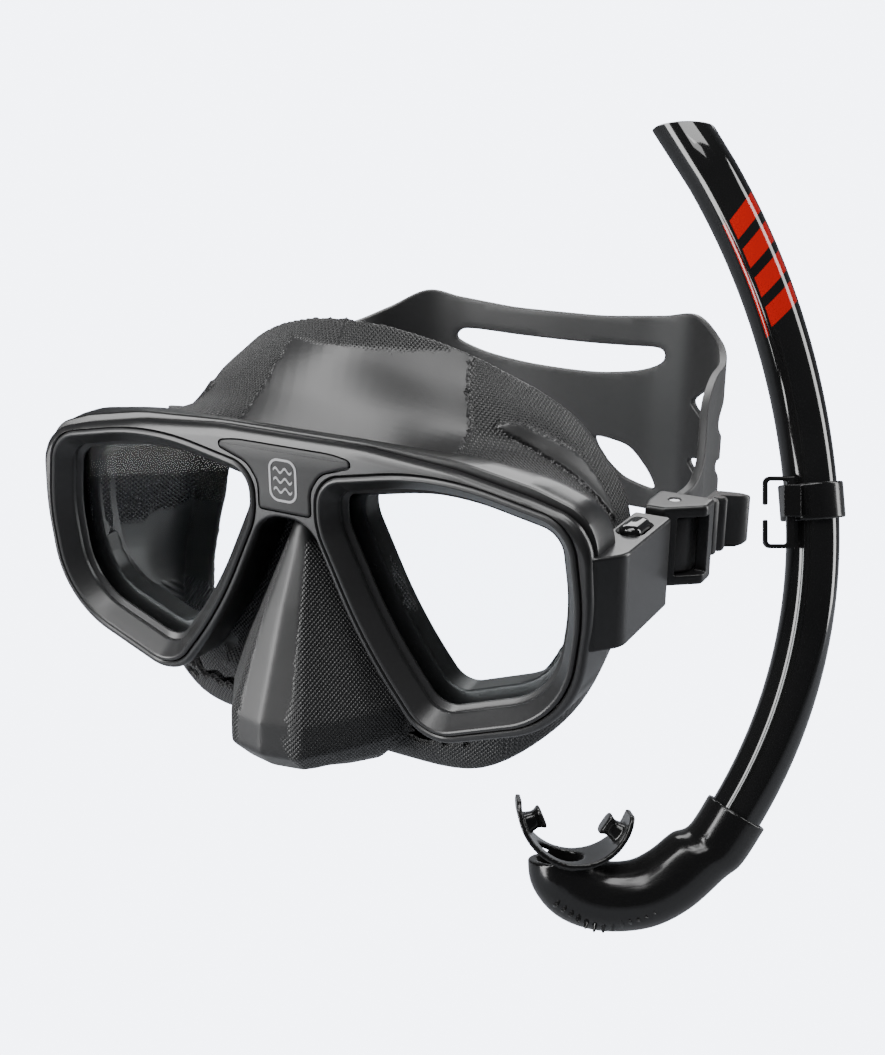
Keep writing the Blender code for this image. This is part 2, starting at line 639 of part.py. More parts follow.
def make_tab_spring(side, word):
    """A bowed steel strip under the tab, standing on the pocket's floor."""
    floor = ARM_TOP - TAB_POCKET_DEPTH + 0.15
    length, rise, width = TAB_LENGTH - 3.0, 1.3, 2.6
    low_side, high_side = [], []
    for k in range(9):
        t = k / 8
        y = TAB_Y + (t - 0.5) * length
        bow = rise * math.sin(math.pi * t) ** 2
        low_side.append((y, floor + bow))
        high_side.append((y, floor + bow + SPRING_STRIP))
    outline = low_side + high_side[::-1]
    loops = [[place(side * (TAB_X + x), y, z) for y, z in outline] for x in (-width / 2, width / 2)]
    return solid(f"tab_spring_{word}", *loft(loops), "steel")


# ------------------------------------------------------------------ snorkel


def snorkel_axes():
    turn, lean = math.radians(SNORKEL_TURN), math.radians(SNORKEL_LEAN)
    across = Vector((math.cos(turn), math.sin(turn), 0))
    out = Vector((math.sin(turn) * math.cos(lean), -math.cos(turn) * math.cos(lean), math.sin(lean)))
    return across, out.cross(across), out


ACROSS, UP, OUT = snorkel_axes()


def in_plane(p, q, n=0.0):
    """A point in the snorkel's own plane, in metres in the part's frame."""
    spot = Vector(KEEPER_PLACE) + ACROSS * p + UP * q + OUT * n
    return place(*spot)


def tube_point(angle):
    """Where the tube's centre line is at an angle of its bend, and its heading, down the tube."""
    radius = UPPER_BEND if angle > KEEPER_ANGLE else LOWER_BEND
    keeper, here = math.radians(KEEPER_ANGLE), math.radians(angle)
    p = radius * (math.cos(here) - math.cos(keeper))
    q = radius * (math.sin(here) - math.sin(keeper))
    return p, q, angle - 90.0


def ring_at(p, q, heading, half_in, half_out, sides=20):
    """A ring of points square to the heading, in the snorkel's plane."""
    across = math.radians(heading + 90.0)
    loop = []
    for k in range(sides):
        a = 2 * math.pi * k / sides
        reach = half_in * math.cos(a)
        loop.append(in_plane(p + reach * math.cos(across), q + reach * math.sin(across), half_out * math.sin(a)))
    return loop


def level_ring(p, q, heading, radius, sides=20):
    """The tube's top ring, sheared along the tube so that its rim is level."""
    along = Vector((math.cos(math.radians(heading)), math.sin(math.radians(heading))))
    loop = []
    for k in range(sides):
        a = 2 * math.pi * k / sides
        reach = radius * math.cos(a)
        spot = Vector((p - reach * along.y, q + reach * along.x))
        spot -= along * ((spot.y - q) / along.y)
        loop.append(in_plane(spot.x, spot.y, radius * math.sin(a)))
    return loop


def make_tube():
    angles = [TUBE_TOP_ANGLE - 4 - (TUBE_TOP_ANGLE - 4 - KEEPER_ANGLE) * k / 7 for k in range(8)]
    angles += [KEEPER_ANGLE + (TUBE_END_ANGLE - KEEPER_ANGLE) * k / 9 for k in range(1, 10)]
    walls = []
    for radius in (TUBE_RADIUS, TUBE_RADIUS - TUBE_WALL):
        loops = [level_ring(*tube_point(TUBE_TOP_ANGLE), radius)]
        loops += [ring_at(*tube_point(angle), radius, radius) for angle in angles]
        walls.append(loops)
    return solid("snorkel_tube", *loft(walls[0] + walls[1][::-1], ring=True), "gloss_black", tube_pivot())


def tube_pivot():
    keeper = math.radians(KEEPER_ANGLE)
    return in_plane(-UPPER_BEND * math.cos(keeper), -UPPER_BEND * math.sin(keeper))


def socket_path():
    """Centre line of the mouthpiece: the socket on the tube's end, then the elbow round to the mouth."""
    outer = TUBE_RADIUS + SOCKET_FIT + SOCKET_WALL
    end = math.degrees((SOCKET_DEPTH) / LOWER_BEND)
    rows = [(*tube_point(SOCKET_ANGLE), outer, outer), (*tube_point(SOCKET_ANGLE - end), outer, outer)]
    return rows + ELBOW


def make_mouthpiece():
    pivot = in_plane(*tube_point(SOCKET_ANGLE)[:2])
    rows = socket_path()
    body = solid("mouthpiece", *loft([ring_at(*row) for row in rows]), "mouth_silicone", pivot)
    combine(body, make_flange())
    for k, angle in enumerate(BITE_ANGLES):
        combine(body, make_bite(k, angle))
    cut(body, make_socket_bore())
    cut(body, make_breathing_bore(rows))
    return body


def make_socket_bore():
    radius = TUBE_RADIUS + SOCKET_FIT
    last = TUBE_END_ANGLE - 0.4
    angles = [SOCKET_ANGLE + 2.0, SOCKET_ANGLE - 1.5, last]
    return solid("socket_bore", *loft([ring_at(*tube_point(a), radius, radius) for a in angles]), "mouth_silicone")


def make_breathing_bore(rows):
    """The way through from the socket to the mouth, inside the elbow."""
    last = TUBE_END_ANGLE + 1.0
    inside = [(*tube_point(last), MOUTH_BORE - 0.6, MOUTH_BORE - 0.6)]
    inside += [(p, q, heading, MOUTH_BORE, MOUTH_BORE) for p, q, heading, _, _ in rows[2:]]
    p, q, heading, _, _ = rows[-1]
    inside.append((p, q + 8.0, heading, MOUTH_BORE, MOUTH_BORE * 0.8))
    return solid("breathing_bore", *loft([ring_at(*row, sides=16) for row in inside]), "mouth_silicone")


def make_flange():
    """The lip shield: a curved plate whose ends narrow."""
    steps, across = 12, 6
    layers = []
    for radius in (FLANGE_RADIUS, FLANGE_RADIUS - FLANGE_THICKNESS):
        grid = []
        for i in range(steps + 1):
            t = i / steps
            angle = math.radians(FLANGE_FROM + (FLANGE_TO - FLANGE_FROM) * t)
            half = FLANGE_HALF_WIDTH * (0.45 + 0.55 * math.sin(math.pi * t) ** 0.6)
            p = FLANGE_CENTRE[0] + radius * math.cos(angle)
            q = FLANGE_CENTRE[1] + radius * math.sin(angle)
            grid.append([in_plane(p, q, half * (2 * k / across - 1)) for k in range(across + 1)])
        layers.append(grid)
    outer, inner = layers
    loops = [o + n[::-1] for o, n in zip(outer, inner)]
    return solid("flange", *loft(loops), "mouth_silicone")


def make_bite(number, angle):
    """A bite tab standing on the inside of the lip shield."""
    along, rise, half = BITE_SIZE
    turn = math.radians(angle)
    radial, tangent = Vector((math.cos(turn), math.sin(turn))), Vector((-math.sin(turn), math.cos(turn)))
    loops = []
    for reach in (FLANGE_RADIUS - FLANGE_THICKNESS / 2, FLANGE_RADIUS - FLANGE_THICKNESS - rise):
        middle = Vector(FLANGE_CENTRE) + radial * reach
        loop = []
        for a, b in ((-1, -1), (1, -1), (1, 1), (-1, 1)):
            spot = middle + tangent * (a * along / 2)
            loop.append(in_plane(spot.x, spot.y, b * half))
        loops.append(loop)
    return solid(f"bite_{number}", *loft(loops), "mouth_silicone")


def make_keeper_band():
    """A soft ring on the tube, with a lug that holds the clip's upright bar."""
    heading = KEEPER_ANGLE - 90.0
    along = Vector((-math.sin(math.radians(KEEPER_ANGLE)), math.cos(math.radians(KEEPER_ANGLE))))

    def ring(radius, height):
        return ring_at(along.x * height, along.y * height, heading, radius, radius, sides=24)

    heights = (BAND_BOTTOM, BAND_TOP)
    loops = [ring(BAND_RADIUS, h) for h in heights] + [ring(TUBE_RADIUS + BAND_FIT, h) for h in heights[::-1]]
    band = solid("keeper_band", *loft(loops, ring=True), "mouth_silicone", in_plane(0, 0))
    reach = CLIP_BAR_HALF + GAP + 1.4
    lug = clip_box("keeper_lug", -reach, reach, -reach, reach, BAND_BOTTOM + 1, BAND_TOP - 1)
    combine(band, lug)
    room = CLIP_BAR_HALF + GAP
    cut(band, clip_box("bar_hole", -room, room, -room, room, BAND_BOTTOM - 5, BAND_TOP + 5))
    bore = [ring(TUBE_RADIUS + BAND_FIT, h) for h in (BAND_BOTTOM - 1, BAND_TOP + 1)]
    cut(band, solid("band_bore", *loft(bore), "mouth_silicone"))
    return band


def clip_box(name, p0, p1, n0, n1, q0, q1):
    """A box measured from the clip's upright bar."""
    loops = []
    for q in (q0, q1):
        corners = ((p0, n0), (p1, n0), (p1, n1), (p0, n1))
        loops.append([in_plane(CLIP_BAR_P + p, q, CLIP_BAR_N + n) for p, n in corners])
    return solid(name, *loft(loops), "gloss_black")


def make_keeper_clip():
    """An upright bar with a C-shaped hook that opens away from the tube, which the strap slips into."""
    bar, wall, left = CLIP_BAR_HALF, CLIP_WALL, -CLIP_REACH
    middle = (CLIP_TOP + CLIP_BOTTOM) / 2
    high, low = middle + CLIP_MOUTH / 2, middle - CLIP_MOUTH / 2
    upper = [(bar, CLIP_TOP), (left + 0.6, CLIP_TOP), (left, CLIP_TOP - 0.8), (left, high),
             (left + wall, high), (left + wall, CLIP_TOP - wall), (-bar, CLIP_TOP - wall)]
    lower = [(-bar, CLIP_BOTTOM + wall), (left + wall, CLIP_BOTTOM + wall), (left + wall, low),
             (left, low), (left, CLIP_BOTTOM + 0.8), (left + 0.6, CLIP_BOTTOM), (bar, CLIP_BOTTOM)]
    loops = [[in_plane(CLIP_BAR_P + p, q, CLIP_BAR_N + n) for p, q in upper + lower] for n in (-bar, bar)]
    return solid("keeper_clip", *loft(loops), "gloss_black", in_plane(0, 0))


def main():
    for old in list(bpy.data.objects):
        bpy.data.objects.remove(old)
    make_frame()
    make_bridge_plate()
    make_skirt()
    make_strap_cradle()
    for side, word in ((1, "left"), (-1, "right")):
        make_bezel(side)
        make_lens(side)
        make_buckle(side, word)
        make_buckle_bar(side, word)
        make_buckle_pin(side, word)
        make_strap_end(side, word)
        make_release_tab(side, word)
        make_tab_spring(side, word)
    make_tube()
    make_mouthpiece()
    make_keeper_band()
    make_keeper_clip()


main()
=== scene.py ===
import math

import bmesh
import bpy
import numpy as np
from mathutils import Matrix, Vector
from mathutils.bvhtree import BVHTree
from mathutils.geometry import delaunay_2d_cdt


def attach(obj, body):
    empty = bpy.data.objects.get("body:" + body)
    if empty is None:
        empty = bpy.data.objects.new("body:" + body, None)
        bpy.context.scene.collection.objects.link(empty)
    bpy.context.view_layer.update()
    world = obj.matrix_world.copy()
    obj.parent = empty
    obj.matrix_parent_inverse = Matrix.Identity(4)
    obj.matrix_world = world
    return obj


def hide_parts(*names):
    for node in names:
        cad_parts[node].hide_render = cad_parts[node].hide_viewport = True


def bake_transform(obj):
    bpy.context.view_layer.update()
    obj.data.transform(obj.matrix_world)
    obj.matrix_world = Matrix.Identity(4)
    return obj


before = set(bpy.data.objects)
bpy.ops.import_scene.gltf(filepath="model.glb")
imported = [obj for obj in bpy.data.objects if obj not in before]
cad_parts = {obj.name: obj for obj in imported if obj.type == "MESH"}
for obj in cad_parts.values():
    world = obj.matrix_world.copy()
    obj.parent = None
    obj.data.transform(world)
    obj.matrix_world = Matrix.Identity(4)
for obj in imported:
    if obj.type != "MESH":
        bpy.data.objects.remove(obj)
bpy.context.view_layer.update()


# Sizes are millimetres from the bridge point, the middle of the frame's front face.
bridgePoint = np.array((0.0, -0.040, 0.025))


def place(points):
    return np.asarray(points, float) * 0.001 + bridgePoint


# shader maths is written on Wires, and a Finish is one material being built


def feed(tree, socket, value):
    if isinstance(value, Wire):
        tree.links.new(value.socket, socket)
    else:
        socket.default_value = value


class Wire:
    def __init__(self, tree, socket):
        self.tree = tree
        self.socket = socket

    def math(self, operation, *others):
        made = self.tree.nodes.new("ShaderNodeMath")
        made.operation = operation
        for socket, value in zip(made.inputs, (self, *others)):
            feed(self.tree, socket, value)
        return Wire(self.tree, made.outputs[0])

    def __add__(self, other):
        return self.math("ADD", other)

    __radd__ = __add__

    def __mul__(self, other):
        return self.math("MULTIPLY", other)

    __rmul__ = __mul__

    def __sub__(self, other):
        return self.math("SUBTRACT", other)

    def __rsub__(self, other):
        return self * -1.0 + other

    def __truediv__(self, other):
        return self.math("DIVIDE", other)

    def sine(self):
        return self.math("SINE")

    def above(self, edge, soft=0.0):
        if not soft:
            return self.math("GREATER_THAN", edge)
        return ((self - edge) / soft + 0.5).clamped()

    def clamped(self):
        return self.math("MAXIMUM", 0.0).math("MINIMUM", 1.0)

    def most(self, other):
        return self.math("MAXIMUM", other)

    def wrapped(self):
        return self.math("FRACT")

    def size(self):
        return self.math("ABSOLUTE")


class Finish:
    def __init__(self, name):
        self.material = bpy.data.materials.new(name)
        self.material.use_nodes = True
        self.tree = self.material.node_tree
        self.shader = self.tree.nodes["Principled BSDF"]

    def node(self, kind, output=0, inputs=None, **settings):
        made = self.tree.nodes.new(kind)
        for key, value in settings.items():
            setattr(made, key, value)
        for key, value in (inputs or {}).items():
            feed(self.tree, made.inputs[key], value)
        return Wire(self.tree, made.outputs[output])

    def coords(self):
        return self.node("ShaderNodeTexCoord", "Object")

    def attribute(self, name):
        return self.node("ShaderNodeAttribute", "Fac", attribute_name=name)

    def noise(self, scale, detail=3.0, stretch=None):
        vector = self.coords()
        if stretch:
            vector = self.node("ShaderNodeMapping", 0, {"Vector": vector, "Scale": stretch})
        return self.node("ShaderNodeTexNoise", 0, {"Vector": vector, "Scale": scale, "Detail": detail})

    def blendColours(self, share, low, high):
        made = self.tree.nodes.new("ShaderNodeMix")
        made.data_type = "RGBA"
        feed(self.tree, made.inputs[0], share)
        feed(self.tree, made.inputs[6], low)
        feed(self.tree, made.inputs[7], high)
        return Wire(self.tree, made.outputs[2])

    def set(self, **values):
        for key, value in values.items():
            feed(self.tree, self.shader.inputs[key.replace("_", " ")], value)
        return self

    def bump(self, height, depth, strength=1.0):
        made = self.node("ShaderNodeBump", 0, {"Height": height, "Distance": depth, "Strength": strength})
        return self.set(Normal=made)


def grey(level, tint=0.0):
    return (level, level, level * (1.0 + tint), 1.0)


def mouldedPlastic(name, level, roughness, coat=0.0, grain=0.00002):
    made = Finish(name)
    cloud = made.noise(60.0, 4.0)
    fine = made.noise(5200.0, 2.0)
    made.set(
        Base_Color=made.blendColours(cloud, grey(level * 0.86, 0.03), grey(level * 1.16, 0.03)),
        Roughness=cloud * 0.08 + (roughness - 0.04) + fine * 0.05,
        Coat_Weight=coat,
        Coat_Roughness=0.12,
    )
    return made.bump(fine, grain, 0.5)


def silicone(name, level, roughness, mesh=False):
    made = Finish(name)
    cloud = made.noise(45.0, 3.0)
    fine = made.noise(3000.0, 2.0)
    height = fine * 0.03
    # random tone from the cloud; in mesh zones a painted sheen on the raised pattern is added below
    toneAndPatternSheen = cloud * 0.5
    rough = cloud * 0.1 + (roughness - 0.05)
    if mesh:
        zone = made.attribute("mesh")
        across, along = made.attribute("across"), made.attribute("along")
        pitch = 1.25
        first = ((across + along) * (math.pi / pitch)).sine()
        second = ((across - along) * (math.pi / pitch)).sine()
        pattern = (first * second).size()
        ribs = ((across * (2 * math.pi / 1.5)).sine() * 0.5 + 0.5) * made.attribute("ribs")
        groove = made.attribute("groove")
        height = height + pattern * zone + ribs * 0.8 - groove * 1.6
        rough = rough + zone * 0.06 - groove * 0.1
        # painted sheen: the tops of the raised mesh pattern are painted lighter, as if catching the light
        toneAndPatternSheen = toneAndPatternSheen + pattern * zone * 0.4
    made.set(
        Base_Color=made.blendColours(toneAndPatternSheen.clamped(), grey(level * 0.8, 0.02), grey(level * 1.35, 0.02)),
        Roughness=rough,
        Sheen_Weight=0.08,
        Sheen_Roughness=0.5,
        Specular_IOR_Level=0.55,
    )
    return made.bump(height, 0.0004 if mesh else 0.00005, 0.9)


def glossBlack(name, graphic=False):
    made = Finish(name)
    cloud = made.noise(30.0, 3.0)
    base = made.blendColours(cloud, grey(0.004), grey(0.009))
    if graphic:
        # run is millimetres down the tube from its top, and turn is millimetres round it
        run, turn = made.attribute("run"), made.attribute("turn")
        lean = run + turn * 0.5
        bar = (lean / 12.0).wrapped()
        thick = (0.33 - (bar - 0.5).size()).above(0.0, 0.02)
        across = (6.6 - (turn - 1.6).size()).above(0.0, 0.25)
        ends = (lean - 37.0).above(0.0, 0.2) * (84.0 - lean).above(0.0, 0.2)
        line = (0.5 - (turn + 7.0).size()).above(0.0, 0.2) * ends
        mark = (thick * across * ends).most(line)
        base = made.blendColours(mark, base, (0.42, 0.006, 0.004, 1.0))
    made.set(
        Base_Color=base,
        Roughness=cloud * 0.05 + 0.06,
        Specular_IOR_Level=0.6,
        Coat_Weight=0.4,
        Coat_Roughness=0.04,
    )
    return made.bump(made.noise(18.0, 2.0), 0.00012, 0.25)


def brushedSteel(name):
    made = Finish(name)
    streaks = made.noise(900.0, 2.0, (1.0, 1.0, 0.06))
    made.set(
        Base_Color=made.blendColours(streaks, (0.5, 0.5, 0.52, 1.0), (0.74, 0.74, 0.76, 1.0)),
        Metallic=1.0,
        Roughness=streaks * 0.15 + 0.22,
    )
    return made.bump(streaks, 0.00002, 0.4)


def clearLens(name):
    made = Finish(name)
    made.tree.nodes.remove(made.shader)
    output = made.tree.nodes["Material Output"]
    clear = made.node("ShaderNodeBsdfTransparent", 0, {"Color": (0.965, 0.98, 0.985, 1.0)})
    shine = made.node("ShaderNodeBsdfGlossy", 0, {"Color": (1.0, 1.0, 1.0, 1.0), "Roughness": 0.03})
    facing = made.node("ShaderNodeLayerWeight", "Fresnel", {"Blend": 0.12})
    smear = made.noise(40.0, 2.0)
    both = made.tree.nodes.new("ShaderNodeMixShader")
    feed(made.tree, both.inputs[0], facing * 0.35 * (smear * 0.2 + 0.9))
    feed(made.tree, both.inputs[1], clear)
    feed(made.tree, both.inputs[2], shine)
    made.tree.links.new(both.outputs[0], output.inputs["Surface"])
    return made


finishes = {
    "frame": mouldedPlastic("finishFrame", 0.011, 0.3, 0.25),
    "bezel": mouldedPlastic("finishBezel", 0.02, 0.34, 0.15),
    "plate": mouldedPlastic("finishPlate", 0.009, 0.42),
    "buckle": mouldedPlastic("finishBuckle", 0.008, 0.34, 0.15),
    "mark": mouldedPlastic("finishMark", 0.36, 0.4),
    "skirt": silicone("finishSkirt", 0.013, 0.38, mesh=True),
    "strap": silicone("finishStrap", 0.016, 0.42),
    "mouth": silicone("finishMouth", 0.004, 0.17),
    "tube": glossBlack("finishTube", graphic=True),
    "gloss": glossBlack("finishGloss"),
    "steel": brushedSteel("finishSteel"),
    "lens": clearLens("finishLens"),
}
print("finishes made")

# pieces are built from points and faces in metres, with their place in their mesh


def added(name, data):
    made = bpy.data.objects.new(name, data)
    bpy.context.scene.collection.objects.link(made)
    return made


def reworked(mesh, change=None):
    shape = bmesh.new()
    shape.from_mesh(mesh)
    if change:
        change(shape)
    bmesh.ops.recalc_face_normals(shape, faces=shape.faces)
    shape.to_mesh(mesh)
    shape.free()


def shaded(mesh, sharp):
    mesh.shade_smooth()
    mesh.set_sharp_from_angle(angle=math.radians(sharp))


def build(name, points, faces, finish, sharp=35.0):
    mesh = bpy.data.meshes.new(name)
    mesh.from_pydata([tuple(p) for p in points], [], [tuple(int(k) for k in f) for f in faces])
    reworked(mesh)
    shaded(mesh, sharp)
    made = added(name, mesh)
    if finish:
        mesh.materials.append(finishes[finish].material)
    return made


def own(piece, body, slot, *nodes):
    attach(piece, body)
    if nodes:
        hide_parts(*nodes)
    return piece


def modifier(piece, kind, **settings):
    made = piece.modifiers.new(kind.lower(), kind)
    for key, value in settings.items():
        setattr(made, key, value)
    return made


def settle(piece):
    bpy.context.view_layer.update()
    graph = bpy.context.evaluated_depsgraph_get()
    mesh = bpy.data.meshes.new_from_object(piece.evaluated_get(graph))
    piece.modifiers.clear()
    old = piece.data
    piece.data = mesh
    mesh.name = piece.name
    bpy.data.meshes.remove(old)
    return piece


def carve(piece, cutters, operation="DIFFERENCE"):
    for cutter in cutters:
        modifier(piece, "BOOLEAN", operation=operation, object=cutter, solver="EXACT")
    settle(piece)
    for cutter in cutters:
        bpy.data.objects.remove(cutter)
    return piece


def soften(piece, voxel, smooth, factor=0.5, ratio=1.0):
    modifier(piece, "REMESH", mode="VOXEL", voxel_size=voxel * 0.001)
    if smooth:
        modifier(piece, "SMOOTH", iterations=smooth, factor=factor)
    if ratio < 1.0:
        modifier(piece, "DECIMATE", ratio=ratio)
    settle(piece)
    piece.data.shade_smooth()
    return piece


def resharpen(piece, angle):
    shaded(piece.data, angle)
    modifier(piece, "WEIGHTED_NORMAL", keep_sharp=True, weight=60)
    return settle(piece)


def loft(loops, ring=False):
    loops = [np.asarray(loop, float) for loop in loops]
    count = len(loops[0])
    faces = []
    for i in range(len(loops) if ring else len(loops) - 1):
        here, there = i * count, ((i + 1) % len(loops)) * count
        for k in range(count):
            beside = (k + 1) % count
            faces.append((here + k, here + beside, there + beside, there + k))
    if not ring:
        faces.append(tuple(range(count)))
        faces.append(tuple(range(count * (len(loops) - 1), count * len(loops))))
    return np.concatenate(loops), faces


def unit(vector):
    return vector / np.linalg.norm(vector)


# wide corners keep at least the least radius when the outline is inset; small ones keep what they have
def rounded(corners, inset=0.0, steps=12, least=0.5):
    corners = np.asarray(corners, float)
    flat, count = corners[:, :2], len(corners)
    after = np.roll(flat, -1, axis=0)
    side = math.copysign(1.0, float(np.sum(flat[:, 0] * after[:, 1] - after[:, 0] * flat[:, 1])))
    moved = []
    for i in range(count):
        into, out = unit(flat[i] - flat[i - 1]), unit(flat[(i + 1) % count] - flat[i])
        n1, n2 = side * np.array((-into[1], into[0])), side * np.array((-out[1], out[0]))
        moved.append(flat[i] + (n1 + n2) * inset / (n1 + n2).dot(n1))
    outline = []
    for i in range(count):
        back, ahead = unit(moved[i - 1] - moved[i]), unit(moved[(i + 1) % count] - moved[i])
        convex = side * (ahead[0] * back[1] - ahead[1] * back[0]) > 0
        wanted = corners[i][2]
        floor = least if wanted > 1.5 * least else min(wanted, 0.15)
        radius = max(wanted - inset, floor) if convex else wanted + inset
        half = math.acos(float(np.clip(back.dot(ahead), -1, 1))) / 2
        centre = moved[i] + unit(back + ahead) * radius / math.sin(half)
        first = moved[i] + back * radius / math.tan(half) - centre
        last = moved[i] + ahead * radius / math.tan(half) - centre
        start = math.atan2(first[1], first[0])
        sweep = (math.atan2(last[1], last[0]) - start + math.pi) % (2 * math.pi) - math.pi
        turns = start + sweep * np.arange(steps + 1) / steps
        outline += [(centre[0] + radius * math.cos(t), centre[1] + radius * math.sin(t)) for t in turns]
    return np.array(outline)


def curved(points, steps, closed=True):
    points = np.asarray(points, float)
    count = len(points)
    spans = count if closed else count - 1
    found = []
    for i in range(spans):
        index = [(i + k) % count if closed else min(max(i + k, 0), count - 1) for k in (-1, 0, 1, 2)]
        a, b, c, d = points[index]
        for t in np.arange(steps) / steps:
            square, cube = 2 * a - 5 * b + 4 * c - d, 3 * b - 3 * c + d - a
            found.append(0.5 * (2 * b + (c - a) * t + square * t**2 + cube * t**3))
    if not closed:
        found.append(points[-1])
    return np.array(found)


def mirrored(half):
    return list(half) + [(-c[0], *c[1:]) for c in reversed(half)]


def facing(outline, side, depth):
    outline = np.asarray(outline, float)
    return place(np.column_stack((outline[:, 0] * side, np.full(len(outline), depth), outline[:, 1])))


def block(name, side, corners, levels, finish, steps=8):
    loops = []
    for inset, z in levels:
        outline = rounded(corners, inset, steps)
        loops.append(place(np.column_stack((outline[:, 0] * side, outline[:, 1], np.full(len(outline), z)))))
    return build(name, *loft(loops), finish)


def levelsBetween(low, high, edge=0.5, rows=3):
    quarter = np.linspace(0, math.pi / 2, rows + 1)
    down = [(edge * (1 - math.sin(t)), low + edge * (1 - math.cos(t))) for t in quarter]
    return down + [(inset, high + low - z) for inset, z in reversed(down)]


def boxCorners(x0, x1, y0, y1, radius):
    return [(x0, y0, radius), (x1, y0, radius), (x1, y1, radius), (x0, y1, radius)]


def turned(name, side, x, y, profile, finish, sides=48):
    turns = np.linspace(0, 2 * math.pi, sides, endpoint=False)
    loops = [
        place(np.column_stack((side * x + r * np.cos(turns), y + r * np.sin(turns), np.full(sides, z))))
        for z, r in profile
    ]
    return build(name, *loft(loops), finish)


def tagged(piece, **values):
    for name, numbers in values.items():
        layer = piece.data.attributes.new(name, "FLOAT", "POINT")
        layer.data.foreach_set("value", np.asarray(numbers, np.float32))


def pointsOf(piece):
    flat = np.zeros(len(piece.data.vertices) * 3)
    piece.data.vertices.foreach_get("co", flat)
    return (flat.reshape(-1, 3) - bridgePoint) * 1000.0


def movePoints(piece, points):
    piece.data.vertices.foreach_set("co", place(points).astype(np.float32).ravel())
    piece.data.update()


# the camera's own axes: to its right, towards it and up

turn, lean = math.radians(29.4), math.radians(19.6)
across = np.array((math.cos(turn), math.sin(turn), 0.0))
outward = np.array((math.sin(turn) * math.cos(lean), -math.cos(turn) * math.cos(lean), math.sin(lean)))
upward = np.cross(outward, across)

cameraAt = {"place": (173.476, -233.076, 89.557), "lens": 44.7}
cameraData = bpy.data.cameras.new("camera")
cameraData.lens = cameraAt["lens"]
camera = added("camera", cameraData)
facingView = Matrix((across, upward, outward)).transposed().to_4x4()
camera.matrix_world = Matrix.Translation(place(cameraAt["place"])) @ facingView
bpy.context.scene.camera = camera


def softBox(name, direction, distance, width, height, power):
    lamp = bpy.data.lights.new(name, "AREA")
    lamp.shape = "RECTANGLE"
    lamp.size, lamp.size_y = width, height
    lamp.energy = power
    target = Vector(place((15.0, 60.0, -20.0)))
    aim = Vector(direction).normalized()
    made = added(name, lamp)
    made.location = target + aim * distance
    made.rotation_euler = aim.to_track_quat("Z", "Y").to_euler()


def fromView(right, up, toward):
    return tuple(across * right + upward * up + outward * toward)


softBox("topSoftBox", (0.15, -0.1, 1.0), 0.9, 0.7, 0.45, 7.0)
softBox("leftStrip", fromView(-0.9, 0.1, 0.42), 0.9, 0.32, 1.6, 20.0)
softBox("frontFill", fromView(-0.25, 0.6, 0.75), 1.3, 0.9, 0.35, 5.0)
softBox("rightRim", fromView(0.95, 0.25, -0.1), 0.9, 0.22, 0.9, 5.0)
softBox("backTop", fromView(0.1, 0.75, -0.65), 1.0, 0.9, 0.3, 4.0)

world = bpy.data.worlds.new("studio")
world.use_nodes = True
world.node_tree.nodes["Background"].inputs["Color"].default_value = (0.9, 0.93, 1.0, 1.0)
world.node_tree.nodes["Background"].inputs["Strength"].default_value = 0.06
bpy.context.scene.world = world

backdropGlow = 7.0  # only the camera sees it; other rays meet a dull grey


def makeBackdrop():
    cove = {"low": -0.26, "near": -1.2, "far": 1.6, "radius": 0.8, "high": 2.6, "half": 3.5}
    profile = [(cove["near"], cove["low"]), (cove["far"] - cove["radius"], cove["low"])]
    for t in np.linspace(0, math.pi / 2, 12)[1:]:
        profile.append((cove["far"] - cove["radius"] + cove["radius"] * math.sin(t),
                        cove["low"] + cove["radius"] * (1 - math.cos(t))))
    profile.append((cove["far"], cove["high"]))
    points = [(x, y, z) for y, z in profile for x in (-cove["half"], cove["half"])]
    faces = [(2 * i, 2 * i + 1, 2 * i + 3, 2 * i + 2) for i in range(len(profile) - 1)]
    floor = build("backdrop", points, faces, None, 80)
    pale = Finish("finishBackdrop")
    pale.tree.nodes.remove(pale.shader)
    lit = pale.node("ShaderNodeEmission", 0, {"Color": (0.84, 0.88, 1.0, 1.0), "Strength": backdropGlow})
    dull = pale.node("ShaderNodeBsdfDiffuse", 0, {"Color": (0.3, 0.31, 0.33, 1.0)})
    seen = pale.node("ShaderNodeLightPath", "Is Camera Ray")
    both = pale.tree.nodes.new("ShaderNodeMixShader")
    feed(pale.tree, both.inputs[0], seen)
    feed(pale.tree, both.inputs[1], dull)
    feed(pale.tree, both.inputs[2], lit)
    pale.tree.links.new(both.outputs[0], pale.tree.nodes["Material Output"].inputs["Surface"])
    floor.data.materials.append(pale.material)


makeBackdrop()
print("studio set up")

# outlines are corners of (x, z, corner radius); everything round a lens is an inset of lensCorners

lensCorners = [
    (8.6, 0.4, 8.0),
    (40.0, 6.6, 75.0),
    (72.8, 0.2, 10.5),
    (75.8, -20.0, 50.0),
    (72.7, -45.7, 24.0),
    (37.5, -59.0, 10.5),
    (21.2, -38.4, 120.0),
    (8.4, -11.8, 18.0),
]
seat = {"ledge": 11.5, "ledgeInset": 5.0, "bezelDepth": 6.0, "lens": 3.2, "lensInset": 0.5, "gap": 0.3}

